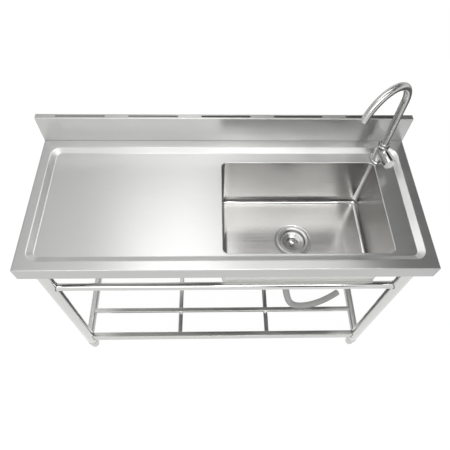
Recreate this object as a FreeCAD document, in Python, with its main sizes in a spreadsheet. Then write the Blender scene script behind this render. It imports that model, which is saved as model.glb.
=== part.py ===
import FreeCAD, Part
import math
import os

import Sketcher

# Freestanding stainless utility sink: a pressed worktop with a drainboard and one bowl on four
# round legs, with a slatted undershelf, a gooseneck tap and a basket strainer with its hose.
# +X runs along the worktop to the bowl, -Y is the front, +Z is up; the origin is on the floor
# below the middle of the worktop.

# Driving dimensions in millimetres, angles in degrees
SIZES = {
    # worktop, pressed from one sheet
    "top_width": 1200,
    "top_depth": 500,
    "top_height": 800,
    "sheet_wall": 1.2,
    "apron_height": 50,
    "rim_width": 30,
    "slope_run": 18,
    "recess_depth": 10,
    "recess_corner": 34,
    "recess_floor_corner": 18,
    # backsplash, folded from one sheet
    "splash_height": 100,
    "splash_depth": 20,
    "splash_lip": 15,
    "splash_foot": 15,
    "slot_count": 5,
    "slot_end_margin": 61.5,
    "slot_width": 8,
    "slot_gap": 73,
    # bowl
    "bowl_width": 500,
    "bowl_depth": 220,
    "bowl_right_margin": 65,
    "bowl_front_margin": 9.5,
    "bowl_rear_margin": 39.5,
    "bowl_corner": 17,
    "bowl_fillet": 15,
    "bowl_flange": 4,
    "bowl_hole_radius": 45,
    # stiffening channels and leg sockets
    "channel_width": 50,
    "channel_height": 25,
    "channel_wall": 1.6,
    "channel_end_gap": 10,
    "socket_height": 35,
    "socket_wall": 2.5,
    "socket_clearance": 0.15,
    "socket_screw_drop": 22,
    "socket_screw_radius": 3,
    "socket_screw_length": 10,
    "screw_clearance": 0.05,
    # legs and front rail
    "leg_diameter": 38,
    "leg_wall": 1.2,
    "leg_inset_side": 46,
    "leg_inset_front": 38,
    "rail_diameter": 25,
    "rail_wall": 1.2,
    "rail_rise": 36,
    "weld_gap": 0.05,
    # undershelf
    "shelf_height": 120,
    "frame_tube_width": 20,
    "frame_tube_height": 38,
    "frame_tube_wall": 1.2,
    "slat_size": 16,
    "slat_wall": 1,
    "slat_count": 3,
    "crossbar_spacing": 364,
    # adjustable feet
    "foot_height": 56,
    "foot_sole_radius": 15,
    "foot_body_radius": 17,
    "foot_taper_height": 8,
    "foot_collar_radius": 20,
    "foot_collar_height": 12,
    "insert_flange": 2,
    "insert_depth": 25,
    "stem_radius": 5,
    "stem_length": 40,
    "stem_clearance": 0.05,
    # basket strainer
    "flange_radius": 57,
    "flange_thick": 2.5,
    "flange_bevel": 1.5,
    "dish_radius": 44,
    "ledge_radius": 41,
    "ledge_drop": 10,
    "ledge_wall": 6.5,
    "cup_radius": 38.6,
    "cup_depth": 42,
    "cup_wall": 2,
    "thread_radius": 43.5,
    "cone_height": 15,
    "outlet_radius": 21,
    "outlet_bore": 17,
    "outlet_length": 20,
    "gasket_thick": 3,
    "gasket_width": 11,
    "gasket_clearance": 0.5,
    "locknut_height": 14,
    "locknut_corner_radius": 58,
    "thread_clearance": 0.05,
    # basket with its knob and seal
    "basket_clearance": 0.6,
    "basket_rim": 3,
    "basket_wall": 1.2,
    "basket_cone_height": 10,
    "basket_well_depth": 12,
    "basket_well_radius": 21,
    "basket_hole_radius": 1.6,
    "basket_hole_count": 18,
    "basket_hole_circle": 30,
    "basket_inner_count": 10,
    "basket_inner_circle": 16.5,
    "post_radius": 3,
    "post_head_radius": 8,
    "post_head_height": 2,
    "post_height": 16,
    "knob_radius": 13,
    "knob_height": 9,
    "knob_crown": 3,
    "seal_radius": 16,
    "seal_thick": 4,
    # tailpiece, coupling nut, hose clamp and hose
    "tail_radius": 16.5,
    "tail_bore": 14.5,
    "tail_flange": 3,
    "tail_body": 14,
    "tail_cone": 12,
    "spigot_length": 42,
    "spigot_bore": 7.5,
    "spigot_clearance": 0.05,
    "coupling_lip": 6,
    "coupling_grip": 20,
    "coupling_corner_radius": 29,
    "coupling_gap": 0.3,
    "hose_radius": 13,
    "hose_bore": 10,
    "clamp_width": 10,
    "clamp_band": 0.9,
    "clamp_drop": 14,
    "clamp_housing_width": 14,
    "clamp_housing_depth": 8,
    # tap
    "tap_side_gap": 15,
    "tap_rear_gap": 14.5,
    "tap_hole_radius": 17.5,
    "tap_gasket_thick": 1,
    "tap_gasket_radius": 22,
    "tap_base_radius": 24,
    "tap_base_height": 6,
    "tap_base_edge": 3,
    "tap_body_radius": 19,
    "tap_body_height": 65,
    "waterway_radius": 6,
    "shank_radius": 16,
    "shank_length": 57,
    "shank_bore": 7,
    "shank_clearance": 0.3,
    "inlet_radius": 10.4,
    "inlet_length": 25,
    "tap_washer_radius": 22,
    "tap_washer_thick": 2,
    "tap_nut_corner_radius": 23.5,
    "tap_nut_height": 12,
    "branch_radius": 18,
    "branch_reach": 26,
    "branch_height": 39,
    "handle_angle": 13,
    "cartridge_radius": 12,
    "cartridge_length": 9.5,
    "cartridge_clearance": 0.1,
    "cartridge_nut_length": 4,
    "spindle_radius": 4,
    "spindle_length": 34,
    "spindle_clearance": 0.05,
    "handle_radius": 19.5,
    "handle_length": 36,
    "handle_gap": 0.4,
    "handle_edge": 1,
    "handle_cap_radius": 18,
    "handle_cap_thick": 1.5,
    "handle_screw_radius": 2,
    "handle_head_radius": 4,
    "handle_head_height": 3,
    "handle_pocket_radius": 6,
    "handle_pocket_depth": 8,
    "spout_radius": 11,
    "spout_wall": 1.5,
    "spout_seat": 25,
    "spout_clearance": 0.05,
    "spout_rise": 203,
    "spout_arc_radius": 86,
    "spout_sweep": 166,
    "spout_angle": 34.5,
    "collar_radius": 15,
    "collar_height": 10,
    "collar_clearance": 0.3,
    "aerator_bore": 6,
    "aerator_depth": 4,
    "aerator_rim": 2,
    "aerator_clearance": 0.15,
}

# The hose hangs from the strainer's spigot, bends forward, comes down on the front slat and
# lies along it towards the right, with a free cut end.
HOSE_POINTS = (
    (237, -25, 462),
    (237, -25, 382),
    (238, -104, 314),
    (289, -105, 133.3),
    (422, -85, 133.3),
    (498, -37, 133.3),
)
ARC_SHARE = 0.45

document = FreeCAD.newDocument("utility_sink")
dims = document.addObject("Spreadsheet::Sheet", "dims")
for row, (alias, value) in enumerate(SIZES.items(), start=1):
    dims.set("A%d" % row, alias)
    dims.set("B%d" % row, str(value))
    dims.setAlias("B%d" % row, alias)
document.recompute()

sub_parts = []


def keep(item, label):
    """Give a finished sub-part its label and list it for the export."""
    item.Label = label
    sub_parts.append(item)
    return item


def place(item, x="0", y="0", z="0", rotation=None):
    """Turn an object, then bind its position to the sheet."""
    if rotation is not None:
        item.Placement = FreeCAD.Placement(FreeCAD.Vector(), rotation)
    item.setExpression("Placement.Base.x", x)
    item.setExpression("Placement.Base.y", y)
    item.setExpression("Placement.Base.z", z)
    return item


def primitive(kind, name, **sizes):
    """A Part primitive whose sizes are bound to the sheet."""
    item = document.addObject("Part::" + kind, name)
    for size, text in sizes.items():
        item.setExpression(size, text)
    return item


def cylinder(name, radius, height):
    return primitive("Cylinder", name, Radius=radius, Height=height)


def box(name, length, width, height):
    return primitive("Box", name, Length=length, Width=width, Height=height)


def prism(name, sides, corner_radius, height):
    item = primitive("Prism", name, Circumradius=corner_radius, Height=height)
    item.Polygon = sides
    return item


def fuse(name, items):
    item = document.addObject("Part::MultiFuse", name)
    item.Shapes = items
    return item


def cut(name, base, tools):
    """The base less one tool or several."""
    item = document.addObject("Part::Cut", name)
    item.Base = base
    item.Tool = tools[0] if len(tools) == 1 else fuse(name + "_tools", tools)
    return item


def ring(name, outer, inner, height):
    """A round tube or washer that stands on the XY plane."""
    return cut(name, cylinder(name + "_outside", outer, height), [cylinder(name + "_inside", inner, height)])


def new_body(name):
    return document.addObject("PartDesign::Body", name)


def new_sketch(body, name, role="XY_Plane", x="0", y="0", z="0"):
    """A sketch on one of the body's own planes, moved within that plane's frame."""
    sketch = body.newObject("Sketcher::SketchObject", name)
    plane = [item for item in body.Origin.OriginFeatures if item.Role == role][0]
    sketch.AttachmentSupport = [(plane, "")]
    sketch.MapMode = "FlatFace"
    sketch.setExpression("AttachmentOffset.Base.x", x)
    sketch.setExpression("AttachmentOffset.Base.y", y)
    sketch.setExpression("AttachmentOffset.Base.z", z)
    return sketch


def bind(sketch, constraint, text):
    """Add a dimension to a sketch and bind it to the sheet."""
    number = sketch.addConstraint(constraint)
    sketch.setExpression("Constraints[%d]" % number, text)


def draw_polygon(sketch, corners):
    """A closed outline; each corner has its two distances from the origin bound to the sheet."""
    count = len(corners)
    start = sketch.GeometryCount
    spots = []
    for index in range(count):
        turn = 2 * math.pi * index / count
        spots.append(FreeCAD.Vector(30 + 20 * math.cos(turn), 30 + 20 * math.sin(turn), 0))
    for index in range(count):
        sketch.addGeometry(Part.LineSegment(spots[index], spots[(index + 1) % count]))
    for index in range(count):
        after = start + (index + 1) % count
        sketch.addConstraint(Sketcher.Constraint("Coincident", start + index, 2, after, 1))
    for index, (across, along) in enumerate(corners):
        line = start + index
        if across == "0":
            sketch.addConstraint(Sketcher.Constraint("PointOnObject", line, 1, -2))
        else:
            bind(sketch, Sketcher.Constraint("DistanceX", -1, 1, line, 1, spots[index].x), across)
        if along == "0":
            sketch.addConstraint(Sketcher.Constraint("PointOnObject", line, 1, -1))
        else:
            bind(sketch, Sketcher.Constraint("DistanceY", -1, 1, line, 1, spots[index].y), along)


def draw_rounded_rectangle(sketch, width, depth, radius):
    """A rectangle about the sketch's origin, with round corners."""
    start = sketch.GeometryCount
    half_width, half_depth, corner = 250.0, 180.0, 20.0
    inner_x = half_width - corner
    inner_y = half_depth - corner
    sides = (
        ((-inner_x, -half_depth), (inner_x, -half_depth)),
        ((half_width, -inner_y), (half_width, inner_y)),
        ((inner_x, half_depth), (-inner_x, half_depth)),
        ((-half_width, inner_y), (-half_width, -inner_y)),
    )
    for first, last in sides:
        sketch.addGeometry(Part.LineSegment(FreeCAD.Vector(*first, 0), FreeCAD.Vector(*last, 0)))
    centres = ((inner_x, -inner_y), (inner_x, inner_y), (-inner_x, inner_y), (-inner_x, -inner_y))
    for index, centre in enumerate(centres):
        circle = Part.Circle(FreeCAD.Vector(*centre, 0), FreeCAD.Vector(0, 0, 1), corner)
        begin = (index - 1) * math.pi / 2
        sketch.addGeometry(Part.ArcOfCircle(circle, begin, begin + math.pi / 2))
    for index in range(4):
        arc = start + 4 + index
        sketch.addConstraint(Sketcher.Constraint("Tangent", start + index, 2, arc, 1))
        sketch.addConstraint(Sketcher.Constraint("Tangent", arc, 2, start + (index + 1) % 4, 1))
        direction = "Horizontal" if index % 2 == 0 else "Vertical"
        sketch.addConstraint(Sketcher.Constraint(direction, start + index))
    for index in range(1, 4):
        sketch.addConstraint(Sketcher.Constraint("Equal", start + 4, start + 4 + index))
    sketch.addConstraint(Sketcher.Constraint("Symmetric", start + 4, 3, start + 6, 3, -1, 1))
    bind(sketch, Sketcher.Constraint("Radius", start + 4, corner), radius)
    bind(sketch, Sketcher.Constraint("DistanceX", start + 3, 1, start + 1, 1, 2 * half_width), width)
    bind(sketch, Sketcher.Constraint("DistanceY", start, 1, start + 2, 1, 2 * half_depth), depth)


def draw_circle(sketch, radius, x="0", y="0"):
    circle = sketch.addGeometry(Part.Circle(FreeCAD.Vector(20, 20, 0), FreeCAD.Vector(0, 0, 1), 5))
    bind(sketch, Sketcher.Constraint("Radius", circle, 5), radius)
    for kind, axis, text in (("DistanceX", -2, x), ("DistanceY", -1, y)):
        if text == "0":
            sketch.addConstraint(Sketcher.Constraint("PointOnObject", circle, 3, axis))
        else:
            bind(sketch, Sketcher.Constraint(kind, -1, 1, circle, 3, 20), text)


def rectangle_corners(width, depth):
    """Corner formulas of a rectangle about the origin."""
    right = "(%s) / 2" % width
    left = "-(%s) / 2" % width
    back = "(%s) / 2" % depth
    front = "-(%s) / 2" % depth
    return ((left, front), (right, front), (right, back), (left, back))


def pad(body, name, sketch, length, down=False):
    feature = body.newObject("PartDesign::Pad", name)
    feature.Profile = sketch
    feature.Reversed = down
    feature.setExpression("Length", length)
    return feature


def pocket(body, name, sketch, length):
    """Cut downwards from the sketch."""
    feature = body.newObject("PartDesign::Pocket", name)
    feature.Profile = sketch
    feature.setExpression("Length", length)
    return feature


def loft(body, kind, name, first, last):
    feature = body.newObject("PartDesign::" + kind, name)
    feature.Profile = first
    feature.Sections = [last]
    feature.Ruled = True
    return feature


def fillet_floor(body, name, height, radius):
    """Round every edge of the level face at one height in the body's own frame."""
    document.recompute()
    base = body.Tip
    for number, face in enumerate(base.Shape.Faces, start=1):
        bounds = face.BoundBox
        if bounds.ZLength < 1e-6 and abs(bounds.ZMin - height) < 1e-4:
            feature = body.newObject("PartDesign::Fillet", name)
            feature.Base = (base, ["Face%d" % number])
            feature.setExpression("Radius", radius)
            return feature
    raise RuntimeError("no level face for " + name)


def turned(name, corners):
    """A turned piece: its half outline, as radius and height formulas, revolved about Z."""
    body = new_body(name)
    sketch = new_sketch(body, name + "_outline", "XZ_Plane")
    draw_polygon(sketch, corners)
    feature = body.newObject("PartDesign::Revolution", name + "_turning")
    feature.Profile = sketch
    feature.ReferenceAxis = (sketch, ["V_Axis"])
    feature.Angle = 360
    return body


# Places that several pieces share
RIM = "dims.top_height"
DECK = "dims.top_height - dims.recess_depth"
DECK_UNDERSIDE = DECK + " - dims.sheet_wall"
BOWL_FLOOR = DECK + " - dims.bowl_depth"
LEDGE = BOWL_FLOOR + " - dims.ledge_drop"
BOWL_LENGTH = (
    "(dims.top_depth - dims.splash_depth - 2 * (dims.rim_width + dims.slope_run)"
    " - dims.bowl_front_margin - dims.bowl_rear_margin)"
)
BOWL_X = (
    "dims.top_width / 2 - dims.rim_width - dims.slope_run - dims.bowl_right_margin"
    " - dims.bowl_width / 2"
)
BOWL_Y = (
    "dims.rim_width + dims.slope_run + dims.bowl_front_margin - dims.top_depth / 2"
    " + " + BOWL_LENGTH + " / 2"
)
TAP_X = BOWL_X + " + dims.bowl_width / 2 + dims.tap_side_gap"
TAP_Y = BOWL_Y + " + " + BOWL_LENGTH + " / 2 + dims.tap_rear_gap"
LEG_X = "(dims.top_width / 2 - dims.leg_inset_side)"
LEG_Y = "(dims.top_depth / 2 - dims.leg_inset_front)"
LEG_RADIUS = "dims.leg_diameter / 2"
SIDES = (("left", -1), ("right", 1))
ENDS = (("front", -1), ("rear", 1))
ABOUT_X = FreeCAD.Vector(1, 0, 0)
ABOUT_Y = FreeCAD.Vector(0, 1, 0)
ABOUT_Z = FreeCAD.Vector(0, 0, 1)


def build_worktop():
    """Rim plate with a folded apron, a pressed recess, the bowl opening and the tap hole."""
    body = new_body("worktop")
    plate = new_sketch(body, "plate_outline")
    draw_polygon(plate, rectangle_corners("dims.top_width", "dims.top_depth"))
    pad(body, "plate", plate, "dims.sheet_wall", down=True)
    apron = new_sketch(body, "apron_outline")
    draw_polygon(apron, rectangle_corners("dims.top_width", "dims.top_depth"))
    inside_width = "dims.top_width - 2 * dims.sheet_wall"
    inside_depth = "dims.top_depth - 2 * dims.sheet_wall"
    draw_polygon(apron, rectangle_corners(inside_width, inside_depth))
    pad(body, "apron", apron, "dims.apron_height", down=True)
    rim_width = "dims.top_width - 2 * dims.rim_width"
    rim_depth = "dims.top_depth - dims.splash_depth - 2 * dims.rim_width"
    middle = "-dims.splash_depth / 2"
    layers = (("AdditiveLoft", "pan", "dims.sheet_wall"), ("SubtractiveLoft", "recess", "0"))
    for kind, name, drop in layers:
        edge = new_sketch(body, name + "_edge", y=middle, z="-(%s)" % drop)
        draw_rounded_rectangle(edge, rim_width, rim_depth, "dims.recess_corner")
        floor = new_sketch(body, name + "_floor", y=middle, z="-dims.recess_depth - (%s)" % drop)
        floor_width = rim_width + " - 2 * dims.slope_run"
        floor_depth = rim_depth + " - 2 * dims.slope_run"
        draw_rounded_rectangle(floor, floor_width, floor_depth, "dims.recess_floor_corner")
        loft(body, kind, name, edge, floor)
    opening = new_sketch(body, "bowl_opening_outline", x=BOWL_X, y=BOWL_Y)
    draw_rounded_rectangle(opening, "dims.bowl_width", BOWL_LENGTH, "dims.bowl_corner")
    pocket(body, "bowl_opening", opening, "dims.apron_height")
    hole = new_sketch(body, "tap_hole_outline", x=TAP_X, y=TAP_Y)
    draw_circle(hole, "dims.tap_hole_radius")
    pocket(body, "tap_hole", hole, "dims.apron_height")
    keep(place(body, z=RIM), "worktop")


def build_backsplash():
    """Folded upstand with a slotted top return and a rear lip, and a plate that closes each end."""
    front = "dims.top_depth / 2 - dims.splash_depth"
    height, depth, wall = "dims.splash_height", "dims.splash_depth", "dims.sheet_wall"
    body = new_body("backsplash")
    profile = new_sketch(body, "backsplash_fold", "YZ_Plane")
    draw_polygon(profile, (
        ("0", "0"),
        ("0", height),
        (depth, height),
        (depth, height + " - dims.splash_lip"),
        (depth + " - " + wall, height + " - dims.splash_lip"),
        (depth + " - " + wall, height + " - " + wall),
        (wall, height + " - " + wall),
        (wall, wall),
        ("dims.splash_foot", wall),
        ("dims.splash_foot", "0"),
    ))
    panel = pad(body, "backsplash_panel", profile, "dims.top_width")
    panel.Midplane = True
    slots_width = "(dims.top_width - 2 * dims.slot_end_margin)"
    slot_length = "(%s - dims.slot_gap * (dims.slot_count - 1)) / dims.slot_count" % slots_width
    spread = "(%s - (%s))" % (slots_width, slot_length)
    first = "-%s / 2" % spread
    slot = new_sketch(body, "slot_outline", x=first, y="dims.splash_depth / 2", z=height)
    draw_rounded_rectangle(slot, slot_length, "dims.slot_width", "dims.slot_width / 2.01")
    opening = pocket(body, "slot", slot, "2 * dims.sheet_wall")
    document.recompute()
    slots = body.newObject("PartDesign::LinearPattern", "slots")
    slots.Originals = [opening]
    slots.Direction = (slot, ["H_Axis"])
    slots.setExpression("Length", spread)
    slots.setExpression("Occurrences", "dims.slot_count")
    body.Tip = slots
    keep(place(body, y=front, z=RIM), "backsplash")
    for side, sign in SIDES:
        name = "splash_end_" + side
        plate = box(name, wall, depth + " - 2 * " + wall, height + " - 2 * " + wall)
        edge = "dims.top_width / 2 - " + wall if sign > 0 else "-dims.top_width / 2"
        keep(place(plate, edge, front + " + " + wall, RIM + " + " + wall), name)


def build_bowl():
    """Deep-drawn bowl with round corners, a narrow flange under the deck and the strainer hole."""
    wall = "dims.sheet_wall"
    body = new_body("bowl")
    outline = new_sketch(body, "bowl_outside")
    outer_width = "dims.bowl_width + 2 * dims.sheet_wall"
    outer_length = BOWL_LENGTH + " + 2 * dims.sheet_wall"
    outer_corner = "dims.bowl_corner + dims.sheet_wall"
    draw_rounded_rectangle(outline, outer_width, outer_length, outer_corner)
    pad(body, "bowl_block", outline, "dims.bowl_depth", down=True)
    hollow = new_sketch(body, "bowl_inside")
    draw_rounded_rectangle(hollow, "dims.bowl_width", BOWL_LENGTH, "dims.bowl_corner")
    pocket(body, "bowl_hollow", hollow, "dims.bowl_depth - dims.sheet_wall")
    fillet_floor(body, "bowl_inner_fillet", dims.sheet_wall - dims.bowl_depth, "dims.bowl_fillet")
    fillet_floor(body, "bowl_outer_fillet", -dims.bowl_depth, "dims.bowl_fillet + dims.sheet_wall")
    flange = new_sketch(body, "bowl_flange_outline")
    flange_width = outer_width + " + 2 * dims.bowl_flange"
    flange_length = outer_length + " + 2 * dims.bowl_flange"
    draw_rounded_rectangle(flange, flange_width, flange_length, outer_corner + " + dims.bowl_flange")
    draw_rounded_rectangle(flange, "dims.bowl_width", BOWL_LENGTH, "dims.bowl_corner")
    pad(body, "bowl_flange", flange, wall, down=True)
    hole = new_sketch(body, "strainer_hole_outline")
    draw_circle(hole, "dims.bowl_hole_radius")
    pocket(body, "strainer_hole", hole, "dims.bowl_depth + dims.sheet_wall")
    keep(place(body, BOWL_X, BOWL_Y, DECK_UNDERSIDE), "bowl")


def build_underside():
    """Channels under each end of the worktop, leg sockets welded in them and their set screws."""
    channel_length = "dims.top_depth - 2 * (dims.sheet_wall + dims.channel_end_gap)"
    inner_width = "dims.channel_width - 2 * dims.channel_wall"
    inner_height = "dims.channel_height - dims.channel_wall"
    socket_top = DECK_UNDERSIDE + " - dims.channel_wall"
    leg_bore = LEG_RADIUS + " + dims.socket_clearance"
    socket_radius = leg_bore + " + dims.socket_wall"
    screws = []
    for side, sign in SIDES:
        name = "channel_" + side
        outside = box(name + "_outside", "dims.channel_width", channel_length, "dims.channel_height")
        place(outside, "-dims.channel_width / 2", "-(%s) / 2" % channel_length, "-dims.channel_height")
        inside = box(name + "_inside", inner_width, channel_length, inner_height)
        place(inside, "-(%s) / 2" % inner_width, "-(%s) / 2" % channel_length, "-dims.channel_height")
        channel = cut(name, outside, [inside])
        keep(place(channel, "%d * %s" % (sign, LEG_X), "0", DECK_UNDERSIDE), name)
        for end, towards in ENDS:
            name = "leg_socket_%s_%s" % (end, side)
            across = FreeCAD.Rotation(ABOUT_X, 90 * towards)
            cup = cylinder(name + "_outside", socket_radius, "dims.socket_height")
            bore = cylinder(name + "_inside", leg_bore, "dims.socket_height")
            screw_bore = "dims.socket_screw_radius + dims.screw_clearance"
            screw_hole = cylinder(name + "_hole", screw_bore, socket_radius)
            screw_height = "dims.socket_height - dims.socket_screw_drop"
            place(screw_hole, z=screw_height, rotation=across)
            socket = cut(name, cup, [bore, screw_hole])
            leg_x = "%d * %s" % (sign, LEG_X)
            leg_y = "%d * %s" % (towards, LEG_Y)
            keep(place(socket, leg_x, leg_y, socket_top + " - dims.socket_height"), name)
            screw_name = "set_screw_%s_%s" % (end, side)
            screw = cylinder(screw_name, "dims.socket_screw_radius", "dims.socket_screw_length")
            tip = "%s - %d * (%s + dims.screw_clearance)" % (leg_y, towards, LEG_RADIUS)
            place(screw, leg_x, tip, socket_top + " - dims.socket_screw_drop", across)
            screws.append(screw)
    group = document.addObject("Part::Compound", "socket_screws")
    group.Links = screws
    keep(group, "socket_screws")


def build_legs():
    """Round tube legs with a threaded insert and a screw-in foot at each lower end."""
    leg_bottom = "dims.foot_height + dims.insert_flange"
    leg_length = "%s - dims.channel_wall - (%s)" % (DECK_UNDERSIDE, leg_bottom)
    stem_bore = "dims.stem_radius + dims.stem_clearance"
    plug_radius = LEG_RADIUS + " - dims.leg_wall - dims.weld_gap"
    insert_height = "dims.insert_flange + dims.insert_depth"
    collar_foot = "dims.foot_height - dims.foot_collar_height"
    stem_top = "dims.foot_height + dims.stem_length"
    for side, sign in SIDES:
        for end, towards in ENDS:
            corner = "%s_%s" % (end, side)
            x = "%d * %s" % (sign, LEG_X)
            y = "%d * %s" % (towards, LEG_Y)
            leg = ring("leg_" + corner, LEG_RADIUS, LEG_RADIUS + " - dims.leg_wall", leg_length)
            keep(place(leg, x, y, leg_bottom), "leg_" + corner)
            insert = turned("leg_insert_" + corner, (
                (stem_bore, "0"),
                (LEG_RADIUS, "0"),
                (LEG_RADIUS, "dims.insert_flange"),
                (plug_radius, "dims.insert_flange"),
                (plug_radius, insert_height),
                (stem_bore, insert_height),
            ))
            keep(place(insert, x, y, "dims.foot_height"), "leg_insert_" + corner)
            foot = turned("foot_" + corner, (
                ("0", "0"),
                ("dims.foot_sole_radius", "0"),
                ("dims.foot_body_radius", "dims.foot_taper_height"),
                ("dims.foot_body_radius", collar_foot),
                ("dims.foot_collar_radius", collar_foot),
                ("dims.foot_collar_radius", "dims.foot_height"),
                ("dims.stem_radius", "dims.foot_height"),
                ("dims.stem_radius", stem_top),
                ("0", stem_top),
            ))
            keep(place(foot, x, y), "foot_" + corner)


def leg_copes(name, span, drop, height):
    """Upright cutters that shape the two ends of a tube to the legs that it is welded to."""
    cutters = []
    for side, sign in SIDES:
        cutter = cylinder("%s_cope_%s" % (name, side), LEG_RADIUS + " + dims.weld_gap", height)
        cutters.append(place(cutter, "%d * (%s) / 2" % (sign, span), "0", drop))
    return cutters


def rectangular_tube(name, length, width, height, wall, coped=False):
    """A square-cut tube along X, centred in plan, with its top face at the origin's level."""
    outside = box(name + "_outside", length, width, height)
    place(outside, "-(%s) / 2" % length, "-(%s) / 2" % width, "-(%s)" % height)
    inner_width = "%s - 2 * %s" % (width, wall)
    inner_height = "%s - 2 * %s" % (height, wall)
    inside = box(name + "_inside", length, inner_width, inner_height)
    place(inside, "-(%s) / 2" % length, "-(%s) / 2" % inner_width, "%s - %s" % (wall, height))
    tools = [inside]
    if coped:
        tools = tools + leg_copes(name, length, "-(%s)" % height, height)
    return cut(name, outside, tools)


def build_front_rail():
    """Round rail welded between the two front legs."""
    span = "2 * " + LEG_X
    radius = "dims.rail_diameter / 2"
    along = FreeCAD.Rotation(ABOUT_Y, 90)
    outside = place(cylinder("front_rail_outside", radius, span), "-(%s) / 2" % span, rotation=along)
    inside = cylinder("front_rail_inside", radius + " - dims.rail_wall", span)
    place(inside, "-(%s) / 2" % span, rotation=along)
    copes = leg_copes("front_rail", span, "-" + radius, "dims.rail_diameter")
    rail = cut("front_rail", outside, [inside] + copes)
    keep(place(rail, "0", "-" + LEG_Y, BOWL_FLOOR + " + dims.rail_rise"), "front_rail")


def build_shelf():
    """Undershelf: a frame of flat tube on edge, slats along it and crossbars under the slats."""
    turned_round = FreeCAD.Rotation(ABOUT_Z, 90)
    frame = ("dims.frame_tube_width", "dims.frame_tube_height", "dims.frame_tube_wall")
    long_span = "2 * " + LEG_X
    short_span = "2 * " + LEG_Y
    for end, towards in ENDS:
        name = "shelf_rail_" + end
        rail = rectangular_tube(name, long_span, *frame, coped=True)
        keep(place(rail, "0", "%d * %s" % (towards, LEG_Y), "dims.shelf_height"), name)
    for side, sign in SIDES:
        name = "shelf_side_" + side
        rail = rectangular_tube(name, short_span, *frame, coped=True)
        keep(place(rail, "%d * %s" % (sign, LEG_X), "0", "dims.shelf_height", turned_round), name)
    slat = ("dims.slat_size", "dims.slat_size", "dims.slat_wall")
    clear_depth = "(%s - dims.frame_tube_width)" % short_span
    gap = "(%s - dims.slat_count * dims.slat_size) / (dims.slat_count + 1)" % clear_depth
    for number in range(1, int(dims.slat_count) + 1):
        name = "shelf_slat_%d" % number
        bar = rectangular_tube(name, long_span + " - dims.frame_tube_width", *slat)
        y = "%d * (%s) + %d * dims.slat_size - dims.slat_size / 2" % (number, gap, number)
        keep(place(bar, "0", "%s - %s / 2" % (y, clear_depth), "dims.shelf_height"), name)
    for side, sign in SIDES:
        name = "shelf_crossbar_" + side
        bar = rectangular_tube(name, clear_depth, *slat)
        x = "%d * dims.crossbar_spacing / 2" % sign
        keep(place(bar, x, "0", "dims.shelf_height - dims.slat_size", turned_round), name)


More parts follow.
